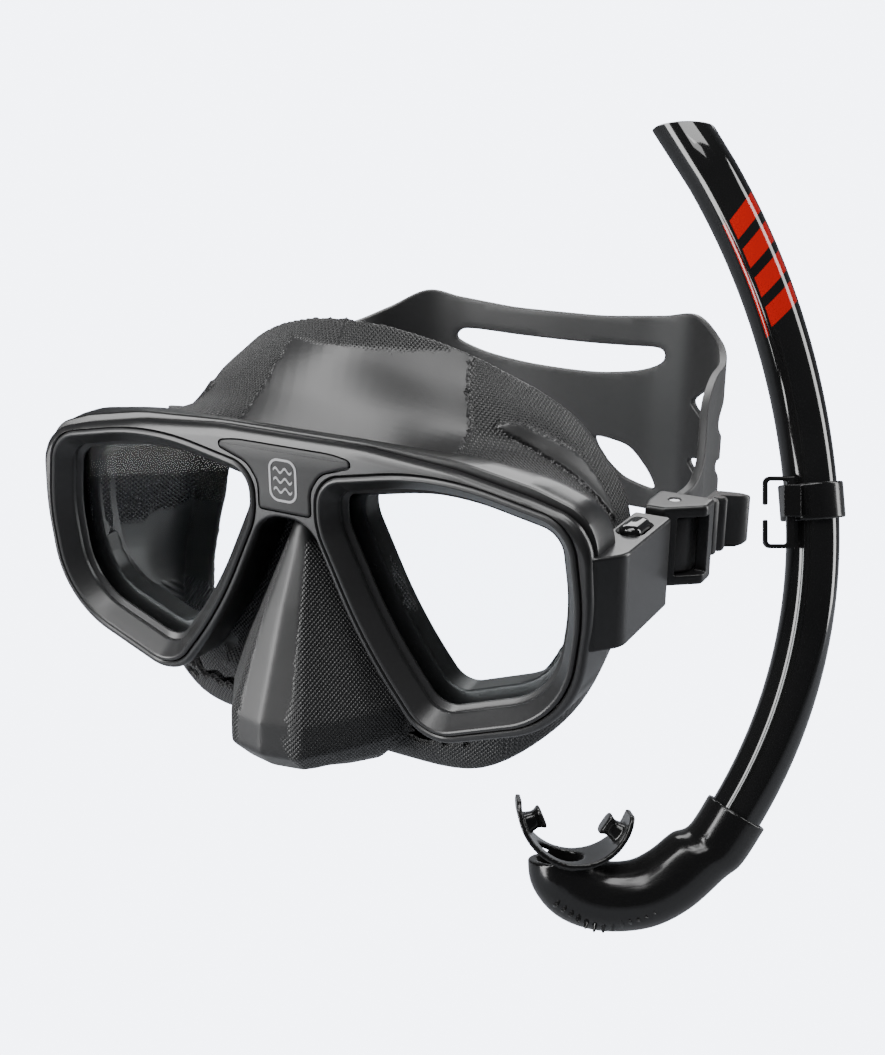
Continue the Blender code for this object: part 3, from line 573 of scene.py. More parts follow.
frameShape = {
    "front": [(20.0, 8.9, 60.0), (44.0, 6.9, 60.0), (62.0, 3.6, 40.0), (76.4, 0.0, 11.0)],
    "top": [(20.0, 9.7, 60.0), (45.0, 8.5, 60.0), (62.5, 5.4, 30.0), (77.0, 0.8, 11.0)],
    "back": [(20.0, 7.0, 60.0), (46.0, 7.2, 60.0), (63.0, 5.0, 30.0), (76.8, 0.2, 11.0)],
    "low": [
        (77.6, -20.0, 60.0),
        (74.7, -47.1, 25.5),
        (36.9, -61.2, 12.0),
        (19.3, -38.9, 120.0),
        (6.4, -11.2, 8.0),
    ],
    "depth": 13.5,
}
plateCorners = [(14.0, 6.5, 30.0), (21.2, 5.0, 1.0), (10.2, 1.4, 6.0), (7.3, -3.0, 6.0), (7.3, -9.4, 1.0)]


def browed(kind, drop=0.0):
    return mirrored([(x, z - drop, r) for x, z, r in frameShape[kind]] + frameShape["low"])


def makeFrame():
    # outline, inset, how far the brow drops, and distance behind the front
    stations = [
        ("front", 1.15, 1.55, 0.0),
        ("front", 0.72, 1.1, 0.1),
        ("front", 0.36, 0.62, 0.42),
        ("front", 0.1, 0.2, 0.95),
        ("front", 0.0, 0.0, 1.6),
        ("front", 0.0, -0.15, 2.3),
        ("front", 0.0, 0.0, 2.5),
        ("front", 0.0, 0.75, 2.7),
        ("front", 0.0, 0.8, 3.3),
        ("top", 0.0, 0.35, 3.5),
        ("top", 0.0, 0.0, 3.9),
        ("top", 0.0, 0.0, 5.5),
        ("back", 0.0, -0.9, 9.5),
        ("back", 0.0, 0.0, 13.0),
        ("back", 0.4, 0.2, frameShape["depth"]),
    ]
    loops = [facing(rounded(browed(kind, drop), inset, 16), 1, y) for kind, inset, drop, y in stations]
    piece = build("maskFrame", *loft(loops), "frame")
    carve(piece, [makeArm(1), makeArm(-1)], "UNION")
    cutters = [makePlateRecess()]
    for side in (1, -1):
        cutters += [makeLensPocket(side), *makeArmCutters(side)]
    carve(piece, cutters)
    resharpen(piece, 28)
    own(piece, "mask", "frame_plastic", "main_frame")


arm = {"outer": 82.0, "inner": 73.0, "rear": 34.5, "top": -7.0, "bottom": -28.4, "pin": (77.0, 31.0)}
tab = {"x": 77.3, "y": 23.5, "length": 10.0, "width": 5.0, "pocket": 4.0}


def makeArm(side):
    corners = [
        (arm["inner"], arm["rear"], 1.0),
        (arm["inner"], 10.5, 4.0),
        (arm["inner"] - 4, 8.5, 2.0),
        (arm["inner"], 1.5, 2.0),
        (77.2, 1.5, 2.0),
        (arm["outer"], 7.5, 6.0),
        (arm["outer"], arm["rear"], 1.2),
    ]
    levels = levelsBetween(arm["bottom"], arm["top"], 0.7, 4)
    return block(f"armBlank{side}", side, corners, levels, "frame", 10)


def makeLensPocket(side):
    ledge, inside = seat["ledge"], seat["ledgeInset"]
    stations = [(-1.2, -1.0), (-0.35, -0.02), (0.0, 0.35), (0.0, ledge), (inside, ledge), (inside, 16.0)]
    loops = [facing(rounded(lensCorners, inset, 16), side, y) for inset, y in stations]
    return build(f"lensPocket{side}", *loft(loops), "frame")


def makePlateRecess():
    outline = rounded(mirrored(plateCorners), -0.3, 10)
    return build("plateRecess", *loft([facing(outline, 1, y) for y in (-2.0, 2.5)]), "frame")


def tabCorners(grow):
    halfX, halfY = tab["width"] / 2 + grow, tab["length"] / 2 + grow
    return boxCorners(tab["x"] - halfX, tab["x"] + halfX, tab["y"] - halfY, tab["y"] + halfY, halfX - 0.05)


def makeArmCutters(side):
    x, y = arm["pin"]
    slot = boxCorners(arm["inner"] - 3, arm["outer"] - 1.1, y - 3.1, arm["rear"] + 3, 0.6)
    yield block(f"tongueSlot{side}", side, slot, [(0, -21.0), (0, -13.0)], "frame")
    yield turned(f"pinBore{side}", side, x, y, [(arm["bottom"] - 2, 1.5), (-9.5, 1.5)], "frame")
    top = arm["top"]
    levels = [(0.0, top - tab["pocket"]), (0.0, top - 0.5), (-0.55, top + 0.05), (-0.55, top + 2)]
    yield block(f"tabPocket{side}", side, tabCorners(0.3), levels, "frame", 10)


makeFrame()
print("frame made")

# sections are (inset from the lens outline, distance behind the front)
bezelSection = [
    (0.3, 0.3),
    (0.42, 0.02),
    (0.75, -0.22),
    (1.15, -0.3),
    (1.5, -0.16),
    (4.1, 3.3),
    (4.32, 3.65),
    (4.38, 4.0),
    (4.4, 4.75),
    (4.65, 5.0),
    (5.3, 5.3),
    (5.55, 5.5),
    (5.6, 6.0),
    (0.3, 6.0),
]
lipSection = [
    (0.5, 9.8),
    (6.4, 9.8),
    (6.95, 9.95),
    (7.25, 10.35),
    (7.3, 10.9),
    (7.3, 16.2),
    (5.4, 16.2),
    (5.3, 11.2),
    (0.5, 11.2),
]


insideRound = 6.5  # least corner radius of the openings that the lenses are seen through


def makeLensParts():
    for side, word in ((1, "left"), (-1, "right")):
        loops = [facing(rounded(lensCorners, inset, 18, insideRound), side, y) for inset, y in bezelSection]
        bezel = build(f"bezel.{word}", *loft(loops, ring=True), "bezel", 24)
        own(bezel, "mask", "bezel_plastic", f"bezel_{word}")
        front = seat["bezelDepth"] + seat["gap"]
        rear = front + seat["lens"]
        inset, edge = seat["lensInset"], 0.3
        levels = [(inset + edge, front), (inset, front + edge), (inset, rear - edge), (inset + edge, rear)]
        loops = [facing(rounded(lensCorners, inset, 18), side, y) for inset, y in levels]
        own(build(f"lens.{word}", *loft(loops), "lens"), "mask", "lens_glass", f"lens_{word}")
        loops = [facing(rounded(lensCorners, inset, 18, insideRound), side, y) for inset, y in lipSection]
        lip = build(f"skirtLip.{word}", *loft(loops, ring=True), "skirt", 30)
        zeros = np.zeros(len(lip.data.vertices))
        tagged(lip, mesh=zeros, across=zeros, along=zeros, ribs=zeros, groove=zeros)
        own(lip, "mask", "skirt_silicone")


def makePlate():
    corners = mirrored(plateCorners)
    stations = [(0.7, -0.2), (0.35, -0.16), (0.1, 0.0), (0.0, 0.3), (0.0, 2.2)]
    loops = [facing(rounded(corners, inset, 12), 1, y) for inset, y in stations]
    own(build("bridgePlate", *loft(loops), "plate", 28), "mask", "frame_plastic", "bridge_plate")


def makeMark():
    mark = {
        "z": -1.6, "half": 3.9, "tall": 5.2, "corner": 2.6,
        "line": 0.55, "rise": 0.12, "waves": (-2.4, 0.0, 2.4),
    }
    low, high = mark["z"] - mark["tall"], mark["z"] + mark["tall"]
    corners = boxCorners(-mark["half"], mark["half"], low, high, mark["corner"])
    front, back = -0.2 - mark["rise"], -0.1
    ring = [facing(rounded(corners, inset, 10), 1, y) for inset, y in
            ((0, back), (0, front), (mark["line"], front), (mark["line"], back))]
    groups = [loft(ring, ring=True)]
    for row in mark["waves"]:
        xs = np.linspace(-2.6, 2.6, 21)
        zs = mark["z"] + row + 0.55 * np.sin(xs * 2.4)
        upper = np.column_stack((xs, zs + mark["line"] / 2))
        lower = np.column_stack((xs, zs - mark["line"] / 2))[::-1]
        outline = np.concatenate((upper, lower))
        groups.append(loft([facing(outline, 1, y) for y in (front, back)]))
    allPoints, allFaces, start = [], [], 0
    for points, faces in groups:
        allPoints.append(points)
        allFaces += [tuple(k + start for k in face) for face in faces]
        start += len(points)
    own(build("bridgeMark", np.concatenate(allPoints), allFaces, "mark"), "mask", "frame_plastic")


makeLensParts()
makePlate()
makeMark()
print("lenses and bridge made")

# each loop runs from the top middle to the bottom middle as (x, z, depth), from the frame to the face

skirtLoops = [
    [(0, 5.8, 13.8), (21, 5.8, 13.8), (42, 6.0, 13.8), (56, 4.4, 13.8), (67, 0.2, 13.8), (71.4, -10, 13.8),
     (71.8, -24, 13.8), (70, -42, 13.8), (58, -52.5, 13.8), (38, -58, 13.8), (17, -60, 13.8), (0, -60, 13.8)],
    [(0, 14, 19), (21, 12.5, 20), (41, 8, 24), (52.5, 2.5, 31), (62.5, -5.5, 34), (68.5, -14, 33),
     (70.6, -27, 30), (69.6, -45, 24), (59.5, -58, 19), (41, -67.5, 15), (18, -69, 13), (0, -68, 13)],
    [(0, 23.5, 22.5), (21.5, 21, 25.5), (41, 14.5, 32), (52.5, 6.4, 42), (61.5, -4, 44), (67.2, -14, 43),
     (69.2, -29, 39), (67.8, -47, 31), (60, -61, 23), (43, -73, 17), (20, -75, 16), (0, -74, 17)],
    [(0, 32, 28), (21.5, 28.2, 32.3), (40, 18.7, 41), (50.6, 9, 50), (60, -2.4, 51.5), (66, -13, 50),
     (68, -30, 46), (66, -48, 38), (58, -62.5, 29), (42, -75, 21), (20, -77, 20), (0, -76.5, 21)],
]
skirtShape = {"voxel": 0.6, "smooth": 6, "wall": 1.8, "kept": 0.5}


def skirtSheet():
    rows = []
    for half in skirtLoops:
        whole = np.array(list(half) + [(-x, z, d) for x, z, d in reversed(half[1:-1])], float)
        rows.append(curved(whole, 6))
    stack = np.array(rows)
    fine = np.array([curved(stack[:, k], 6, closed=False) for k in range(stack.shape[1])])
    count, high = fine.shape[:2]
    points = place(fine[:, :, (0, 2, 1)].reshape(-1, 3))
    faces = [(k * high + i, ((k + 1) % count) * high + i, ((k + 1) % count) * high + i + 1, k * high + i + 1)
             for k in range(count) for i in range(high - 1)]
    return BVHTree.FromPolygons([Vector(p) for p in points], faces)


def fairSkirt(piece):
    sheet = skirtSheet()
    centre = Vector(place((0.0, 30.0, -22.0)))
    mesh = piece.data
    for vertex, normal in zip(mesh.vertices, [v.normal.copy() for v in mesh.vertices]):
        spot, aim, _, gap = sheet.find_nearest(vertex.co, 0.0035)
        if spot is None:
            continue
        away = spot - centre
        away.y = 0.0
        out = aim if aim.dot(away) > 0 else -aim
        side = normal.dot(out)
        if side > 0.35 and gap < 0.0022:
            vertex.co = spot
        elif side < -0.35:
            vertex.co = spot - out * skirtShape["wall"] * 0.001
    mesh.update()


def makeSkirt():
    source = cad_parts["skirt"]
    mesh = source.data.copy()
    mesh.transform(source.matrix_world)
    reworked(mesh, lambda shape: bmesh.ops.remove_doubles(shape, verts=shape.verts, dist=1e-6))
    mesh.materials.clear()
    mesh.materials.append(finishes["skirt"].material)
    piece = added("faceSkirt", mesh)
    soften(piece, skirtShape["voxel"], skirtShape["smooth"])
    fairSkirt(piece)
    modifier(piece, "SMOOTH", iterations=5, factor=0.5)
    modifier(piece, "DECIMATE", ratio=skirtShape["kept"])
    settle(piece)
    piece.data.shade_smooth()
    detailSkirt(piece)
    own(piece, "mask", "skirt_silicone", "skirt")


def nearLine(points, line, steps=20):
    fine = curved(line, steps, closed=False)
    best = np.full(len(points), 1e9)
    share = np.zeros(len(points))
    for i, spot in enumerate(fine):
        gap = np.linalg.norm(points - spot, axis=1)
        closer = gap < best
        best[closer] = gap[closer]
        share[closer] = i / (len(fine) - 1)
    return best, share


def smoothStep(value, low, high):
    t = np.clip((value - low) / (high - low), 0.0, 1.0)
    return t * t * (3 - 2 * t)


def detailSkirt(piece):
    points = pointsOf(piece)
    x, y, z = points[:, 0], points[:, 1], points[:, 2]
    side = np.abs(x)
    normals = np.zeros(len(x) * 3)
    piece.data.vertices.foreach_get("normal", normals)
    normals = normals.reshape(-1, 3)
    # the smooth forehead panel is a trapezium; the mesh covers the rim above it and the temples beside it
    panelEdge = 24.0 - (z - 6.0) * 0.42
    brow = z > 4.0
    onPanel = smoothStep(panelEdge + 14.0 * (x > 0) - side, -0.6, 0.6) * smoothStep(26.0 - z, -0.6, 0.6)
    mesh = np.where(brow, 1.0 - onPanel, 0.0)
    temple = (z <= 4.0) & (z > -30) & (side > 45)
    mesh = np.where(temple, 1.0, mesh)
    nose = (z < -14) & (side < 27) & (y < 14)
    ridge = np.interp(-z, [13, 32, 58, 76], [1.8, 5.0, 8.0, 8.0])
    flank = smoothStep(side - ridge, -0.4, 0.4)
    mesh = np.where(nose, flank * smoothStep(-z, 17, 19), mesh)
    lower = (z < -56) & ~nose
    mesh = np.where(lower, 0.7, mesh)
    rimLine = [(0, 28, 32), (21.5, 32.3, 28.2), (40, 41, 18.7), (50.6, 50, 9), (60, 51.5, -2.4)]
    rim, _ = nearLine(points, rimLine)
    mirrorRim, _ = nearLine(points * (-1, 1, 1), rimLine[:-1])
    mesh *= smoothStep(np.minimum(rim, mirrorRim), 0.8, 1.6)
    # a raised crescent on each temple, with a groove along both its edges
    crescent = [(42, 27.5, 10.5), (50, 32, 7.6), (57.5, 37, 2.0), (63, 38.5, -5.0), (66.5, 38, -12.0)]
    lift = np.zeros(len(x))
    groove = np.zeros(len(x))
    for mirror in ((1, 1, 1), (-1, 1, 1)):
        gap, share = nearLine(points * mirror, crescent)
        width = 4.2 * np.sin(np.pi * np.clip(share * 0.9 + 0.08, 0, 1)) + 0.2
        inside = smoothStep(width - gap, -0.5, 0.8)
        outside = ((normals * roughlyOut(x)).sum(axis=1) > 0).astype(float)
        lift += inside * outside * 0.8
        mesh *= 1.0 - inside
        groove += np.exp(-((gap - width) / 0.35) ** 2) * (gap < 8) * outside
    # the seams beside the forehead panel
    edgeGap = np.abs(panelEdge + 14.0 * (x > 0) - side)
    groove += np.exp(-(edgeGap / 0.3) ** 2) * brow * (z < 26.5)
    movePoints(piece, points + normals * lift[:, None])
    ribs = smoothStep(side, 46, 50) * (z < -50) * smoothStep(14 - np.abs(side - 54), 0, 2)
    tagged(
        piece,
        mesh=mesh,
        across=x + y * np.sign(x) * 0.75,
        along=z + y * 0.35,
        ribs=ribs * 0.6,
        groove=np.clip(groove, 0, 1),
    )


def roughlyOut(x):
    return np.column_stack((np.sign(x), np.zeros(len(x)), np.ones(len(x))))


makeSkirt()
print("skirt made")


buckle = {
    "front": 36.3, "rear": 49.0, "top": -5.8, "bottom": -25.2, "plate": 2.6,
    "roller": (79.2, 43.6), "rollerRadius": 2.2, "strap": 2.2, "gap": 0.3,
}
# x, y, then the heights of the top edge, the upper opening, the lower opening and the bottom edge
cradleRows = [
    (0, 150.5, 13.8, 5.0, -4.3, -24.0, -36.0, -47.0),
    (14.5, 150.5, 13.9, 5.1, -4.4, -25.0, -28.6, -47.0),
    (25, 150.4, 14.7, 5.3, -3.0, -26.9, -37.0, -47.0),
    (36, 150.0, 15.8, 5.5, -1.0, -36.8, -40.2, -47.0),
    (47, 147.6, 17.4, -7.0, -10.5, -26.0, -29.5, -46.0),
    (57, 139.5, 12.0, -3.0, -15.0, -26.0, -35.0, -43.5),
    (62.5, 127.0, 8.8, -2.0, -14.5, -24.0, -31.0, -39.0),
    (66, 108.0, 8.4, -2.5, -7.0, -17.0, -20.5, -32.0),
    (70, 90.0, 5.0, -4.0, -6.0, -13.0, -15.0, -27.0),
    (75.6, 71.2, -7.4, -9.5, -11.0, -15.0, -17.0, -22.4),
]


def strapPath():
    cx, cy = buckle["roller"]
    reach = buckle["rollerRadius"] + buckle["gap"] + buckle["strap"] / 2
    half = [(row[0], row[1]) for row in cradleRows]
    half += [(cx - reach, y) for y in (58.0, 50.0, cy + 1.0)]
    fine = curved(half, 10, closed=False)
    length = np.concatenate(([0.0], np.cumsum(np.linalg.norm(np.diff(fine, axis=0), axis=1))))
    return fine, length


pathPoints, pathLength = strapPath()


def spotAt(run):
    return np.array([np.interp(run, pathLength, pathPoints[:, k]) for k in (0, 1)])


def onPath(run, height):
    run = np.asarray(run, float)
    x, y = spotAt(np.abs(run))
    return np.column_stack((np.where(run < 0, -1.0, 1.0) * x, y, height))


def runAt(x, y):
    return pathLength[np.argmin(np.hypot(pathPoints[:, 0] - x, pathPoints[:, 1] - y))]


def strapOutlines():
    runs = [runAt(row[0], row[1]) for row in cradleRows]
    heights = np.array([row[2:] for row in cradleRows], float)
    low, high = buckle["bottom"] + 2.9, buckle["top"] - 2.9
    endRun = pathLength[-1]
    knots = np.concatenate((runs, (runs[-1] + 8, endRun - 6, endRun)))
    top = np.concatenate((heights[:, 0], (high, high, high)))
    top[len(runs) - 1] = high + 3.5
    bottom = np.concatenate((heights[:, 5], (low, low, low)))
    topLine = curved(np.column_stack((knots, top)), 8, closed=False)
    bottomLine = curved(np.column_stack((knots, bottom)), 8, closed=False)
    otherBottom, otherTop = bottomLine * (-1, 1), topLine * (-1, 1)
    outer = np.concatenate((topLine, bottomLine[::-1][:-1], otherBottom[:-1], otherTop[::-1][:-1]))
    holes = []
    # openings are (run along the strap from its middle, height)
    slot = [
        (-36, 1.6), (-35.2, 4.6), (-30, 5.6), (-12, 5.1), (10, 5.0), (24, 5.4), (34, 5.8), (37, 4.6),
        (36.6, 1.8), (32.6, -0.7), (26, -2.7), (14, -4.3), (0, -4.4), (-14, -3.6), (-27, -1.6),
    ]
    holes.append(curved(slot, 6))
    leaf = [
        (15.3, -25.3), (21, -25.7), (26.9, -27.4), (32.3, -32.7), (35.4, -37.2), (36, -39.4),
        (34, -40.1), (28.6, -38.9), (23.9, -37.0), (18.6, -32.5), (15.2, -27.6),
    ]
    bend = ((47.5, 147.2), (53, 143.5), (58.5, 137), (61.5, 130), (64, 118))
    k1, k2, k3, k4, k5 = [runAt(x, y) for x, y in bend]
    corner = [
        (k1, -8.8), (k2 - 2, -5.0), (k2 + 2, -2.6), (k3, -2.2), (k4, -2.6), (k5 - 3, -4.6),
        (k5, -7.2), (k5 - 4, -10.5), (k4, -14.0), (k3, -15.2), (k2 + 1, -14.2), (k1 + 2, -11.4),
    ]
    small = [
        (k1, -27.6), (k2 - 2, -26.2), (k2 + 2, -25.6), (k3 + 2, -23.4), (k4 + 2, -20.4), (k5 - 2, -18.6),
        (k5, -20.4), (k4 + 3, -26.0), (k4 - 1, -31.0), (k3, -34.0), (k2 + 1, -33.6), (k1 + 2, -30.4),
    ]
    for side in (1, -1):
        for points in (leaf, corner, small):
            holes.append(curved([(side * a, b) for a, b in points], 6))
    return outer, holes


def inPolygon(points, polygon):
    x, y = points[:, 0], points[:, 1]
    inside = np.zeros(len(points), bool)
    for i in range(len(polygon)):
        (x0, y0), (x1, y1) = polygon[i - 1], polygon[i]
        if y0 == y1:
            continue
        crosses = ((y0 > y) != (y1 > y)) & (x < (x1 - x0) * (y - y0) / (y1 - y0) + x0)
        inside ^= crosses
    return inside


def gapTo(points, polygon):
    best = np.full(len(points), 1e9)
    for i in range(len(polygon)):
        a, b = polygon[i - 1], polygon[i]
        line = b - a
        t = np.clip(((points - a) @ line) / max(line @ line, 1e-9), 0, 1)
        best = np.minimum(best, np.linalg.norm(points - a - t[:, None] * line, axis=1))
    return best


def flatMesh(outer, holes, pitch):
    loops = [outer, *holes]
    fixed, edges = [], []
    for loop in loops:
        start = len(fixed)
        fixed += [tuple(p) for p in loop]
        edges += [(start + k, start + (k + 1) % len(loop)) for k in range(len(loop))]
    low, high = outer.min(axis=0), outer.max(axis=0)
    xs = np.arange(low[0] + pitch / 2, high[0], pitch)
    ys = np.arange(low[1] + pitch / 2, high[1], pitch)
    grid = np.array([(x + (pitch / 2 if j % 2 else 0), y) for j, y in enumerate(ys) for x in xs])
    keep = inPolygon(grid, outer)
    for hole in holes:
        keep &= ~inPolygon(grid, hole)
    grid = grid[keep]
    for loop in loops:
        grid = grid[gapTo(grid, loop) > pitch * 0.45]
    everything = fixed + [tuple(p) for p in grid]
    points, _, faces, *_ = delaunay_2d_cdt([Vector(p) for p in everything], edges, [], 0, 1e-6)
    points = np.array([tuple(p) for p in points])
    faces = np.array([f for f in faces if len(f) == 3])
    middles = points[faces].mean(axis=1)
    keep = inPolygon(middles, outer)
    for hole in holes:
        keep &= ~inPolygon(middles, hole)
    return points, faces[keep]


def makeStrapBand():
    outer, holes = strapOutlines()
    points, faces = flatMesh(outer, holes, 2.0)
    whole = build("strapWhole", place(onPath(points[:, 0], points[:, 1])), faces, "strap")
    modifier(whole, "SOLIDIFY", thickness=buckle["strap"] * 0.001, offset=0.0, use_even_offset=True)
    modifier(whole, "BEVEL", width=0.0007, segments=3, limit_method="ANGLE", angle_limit=math.radians(50))
    settle(whole)
    for side, word in ((1, "left"), (-1, "right")):
        mesh = whole.data.copy()

        def halve(shape):
            every = [*shape.verts, *shape.edges, *shape.faces]
            cut = {"plane_co": (0, 0, 0), "plane_no": (-side, 0, 0), "clear_outer": True}
            bmesh.ops.bisect_plane(shape, geom=every, **cut)

        reworked(mesh, halve)
        shaded(mesh, 60)
        piece = added(f"strapBand.{word}", mesh)
        if word == "left":
            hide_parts("strap_cradle")
        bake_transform(piece)
    bpy.data.objects.remove(whole)


def makeTail(side, word):
    cx, cy = buckle["roller"]
    inner = buckle["rollerRadius"] + buckle["gap"]
    outer = inner + buckle["strap"]
    turns = math.pi + math.pi * np.linspace(0, 1, 25)
    around = [(cx + outer * math.cos(a), cy + outer * math.sin(a)) for a in turns]
    face = cx + outer
    ribs = []
    for k in range(3):
        start = buckle["rear"] + 1.4 + 3.7 * k
        rise = 1.1 + 0.9 * k
        section = ((0.0, 0.0), (rise * 0.8, 0.5), (rise, 1.2), (rise, 2.2), (rise * 0.7, 2.8), (0.25, 3.2))
        ribs += [(face + out, start + along) for out, along in section]
    gripSection = (
        (5.0, 63.0), (6.2, 64.8), (6.6, 66.2), (6.0, 67.8),
        (4.2, 68.6), (1.6, 68.4), (-0.6, 67.8), (-2.2, 66.4),
    )
    grip = [(face + out, y) for out, y in gripSection]
    back = [(cx + inner * math.cos(a), cy + inner * math.sin(a)) for a in reversed(turns)]
    outline = np.array([(cx - outer, cy + 1.2), *around, *ribs, *grip, *back, (cx - inner, cy + 1.2)])
    low, high = buckle["bottom"] + 2.9, buckle["top"] - 2.9
    gripStart = 58.0
    taper = np.clip((outline[:, 1] - gripStart) / 10.0, 0, 1) ** 2
    middle = (low + high) / 2
    rounding = (
        (low, 0.5), (low + 0.25, 0.15), (low + 0.8, 0.0),
        (high - 0.8, 0.0), (high - 0.25, 0.15), (high, 0.5),
    )
    loops = []
    for z, inset in rounding:
        centre = np.array((face, gripStart))
        shrink = outline + unitRows(centre - outline) * inset * (outline[:, 0:1] > cx)
        heights = middle + (z - middle) * (1.0 - 0.18 * taper)
        loops.append(place(np.column_stack((shrink[:, 0] * side, shrink[:, 1], heights))))
    piece = build(f"strapTail.{word}", *loft(loops), "strap", 40)
    own(piece, f"buckle_{word}", "strap_silicone", f"strap_end_{word}")


def unitRows(rows):
    return rows / (np.linalg.norm(rows, axis=1)[:, None] + 1e-9)


def makeBuckle(side, word):
    x, y = arm["pin"]
    front, rear, inner, outer = buckle["front"], buckle["rear"], 73.6, 87.4
    plan = [
        (x - 2.3, front, 0.5), (x + 2.4, front, 0.5), (outer, 42.5, 2.0),
        (outer, rear, 1.5), (inner, rear, 1.5), (inner, 41.0, 2.0),
    ]
    levels = levelsBetween(buckle["bottom"], buckle["top"], 0.8, 3)
    piece = block(f"buckleLoop.{word}", side, plan, levels, "buckle", 8)
    tongue = [
        (x - 2.2, front + 1, 0.2), (x - 2.2, y - 2.8, 2.1),
        (x + 2.2, y - 2.8, 2.1), (x + 2.2, front + 1, 0.2),
    ]
    carve(piece, [block(f"tongueBlank{side}", side, tongue, [(0, -20.7), (0, -13.3)], "buckle")], "UNION")
    cx, cy = buckle["roller"]
    low, high = buckle["bottom"] + buckle["plate"], buckle["top"] - buckle["plate"]
    frontBar, barInside = cy - 5.3, cx + 5.3
    window = boxCorners(68.0, barInside, frontBar, buckle["rear"] + 4, 0.8)
    mouth = boxCorners(barInside - 1.5, 92.0, frontBar - 4, buckle["rear"] - 4.4, 0.8)
    carve(piece, [
        block(f"window{side}", side, window, [(0, low), (0, high)], "buckle"),
        block(f"mouth{side}", side, mouth, [(0, low), (0, high)], "buckle"),
        turned(f"pinHole{side}", side, x, y, [(-23, 1.5), (-11, 1.5)], "buckle"),
        turned(f"barHole{side}", side, cx, cy, [(-28, 1.45), (-3, 1.45)], "buckle"),
    ])
    soften(piece, 0.22, 3, 0.5, 0.5)
    own(piece, f"buckle_{word}", "buckle_plastic", f"buckle_{word}")


def makeTab(side, word):
    top, low = arm["top"], arm["top"] - 1.5
    levels = [(0.3, low), (0.0, low + 0.3)]
    crown = ((0.0, 0.3), (0.15, 0.75), (0.5, 1.15), (1.05, 1.45), (1.7, 1.6))
    levels += [(inset, top + rise) for inset, rise in crown]
    piece = block(f"releaseTab.{word}", side, tabCorners(0.0), levels, "gloss", 12)
    own(piece, f"release_tab_{word}", "gloss_black", f"release_tab_{word}")


makeStrapBand()
for side, word in ((1, "left"), (-1, "right")):
    makeTail(side, word)
    makeBuckle(side, word)
    makeTab(side, word)
print("strap and buckles made")

# the snorkel lies in a plane that faces the camera: p runs to the right, q up and n out of that plane

keeperAt = np.array((61.85, 253.83, -67.73))
tubeShape = {
    "radius": 10.0, "wall": 1.4,
    "upper": 295.0, "lower": 205.0,  # radii of the bends above and below the keeper
    "keeper": 4.54, "top": 33.8, "end": -35.5, "socket": -31.0,  # degrees round the bends
}


def inPlane(p, q, n=0.0):
    p, q, n = np.broadcast_arrays(np.asarray(p, float), q, n)
    return place(keeperAt + p[..., None] * across + q[..., None] * upward + n[..., None] * outward)


def tubePoint(angle):
    radius = tubeShape["upper"] if angle > tubeShape["keeper"] else tubeShape["lower"]
    keeper, here = math.radians(tubeShape["keeper"]), math.radians(angle)
    p, q = radius * (math.cos(here) - math.cos(keeper)), radius * (math.sin(here) - math.sin(keeper))
    return p, q, angle - 90.0


def ringAt(p, q, heading, halfIn, halfOut, sides=64):
    aim = math.radians(heading + 90.0)
    turns = np.linspace(0, 2 * math.pi, sides, endpoint=False)
    reach = halfIn * np.cos(turns)
    return inPlane(p + reach * math.cos(aim), q + reach * math.sin(aim), halfOut * np.sin(turns))


def levelRing(p, q, heading, radius, slope, sides=64):
    aim = np.array((math.cos(math.radians(heading)), math.sin(math.radians(heading))))
    turns = np.linspace(0, 2 * math.pi, sides, endpoint=False)
    reach = radius * np.cos(turns)
    spots = np.column_stack((p - reach * aim[1], q + reach * aim[0]))
    spots -= aim * (slope * (spots[:, 1:] - q) / aim[1])
    return inPlane(spots[:, 0], spots[:, 1], radius * np.sin(turns))


def makeTube():
    top, keeper = tubeShape["top"], tubeShape["keeper"]
    angles = list(np.linspace(top - 4, keeper, 60)) + list(np.linspace(keeper, tubeShape["end"], 80))[1:]
    radius, inside = tubeShape["radius"], tubeShape["radius"] - tubeShape["wall"]
    p, q, heading = tubePoint(top)
    loops = [levelRing(p, q, heading, inside + 0.1, 1.0), levelRing(p, q, heading, inside + 0.45, 1.0)]
    loops[1] += upward * 0.00025
    loops.append(levelRing(p, q, heading, radius - 0.4, 1.0) + upward * 0.00025)
    loops.append(levelRing(p, q, heading, radius, 1.0) - upward * 0.0002)
    outer = [ringAt(*tubePoint(a), radius, radius) for a in angles]
    inner = [ringAt(*tubePoint(a), inside, inside) for a in angles]
    rings = loops + outer + inner[::-1]
    piece = build("snorkelTube", *loft(rings, ring=True), "tube", 50)
    runs, turns = [], []
    sides = np.linspace(0, 2 * math.pi, 64, endpoint=False)
    arc = [0.0] * 4 + [math.radians(top - a) * tubeShape["upper"] for a in angles] + [-50.0] * len(inner)
    for run in arc:
        runs.append(np.full(64, run))
        turns.append(np.where(np.sin(sides) > -0.2, np.cos(sides) * radius, 60.0))
    tagged(piece, run=np.concatenate(runs), turn=np.concatenate(turns))
    own(piece, "snorkel_tube", "gloss_black", "snorkel_tube")


# p, q, heading in degrees, and the half widths in the plane and out of it
elbow = [
    (-43.6, -138.6, 229.0, 12.9, 12.4),
    (-54.2, -147.6, 214.0, 13.2, 12.6),
    (-65.6, -153.2, 197.0, 13.2, 12.8),
    (-79.2, -154.2, 178.0, 13.2, 12.8),
    (-89.6, -151.0, 150.0, 13.4, 12.8),
    (-95.2, -145.2, 115.0, 13.2, 12.6),
    (-96.4, -139.6, 92.0, 12.6, 11.6),
]
flange = {"centre": (-90.8, -118.1), "radius": 22.8, "half": 14.0, "thick": 2.0, "from": 175.0, "to": 349.0}
mouthBore = 9.0


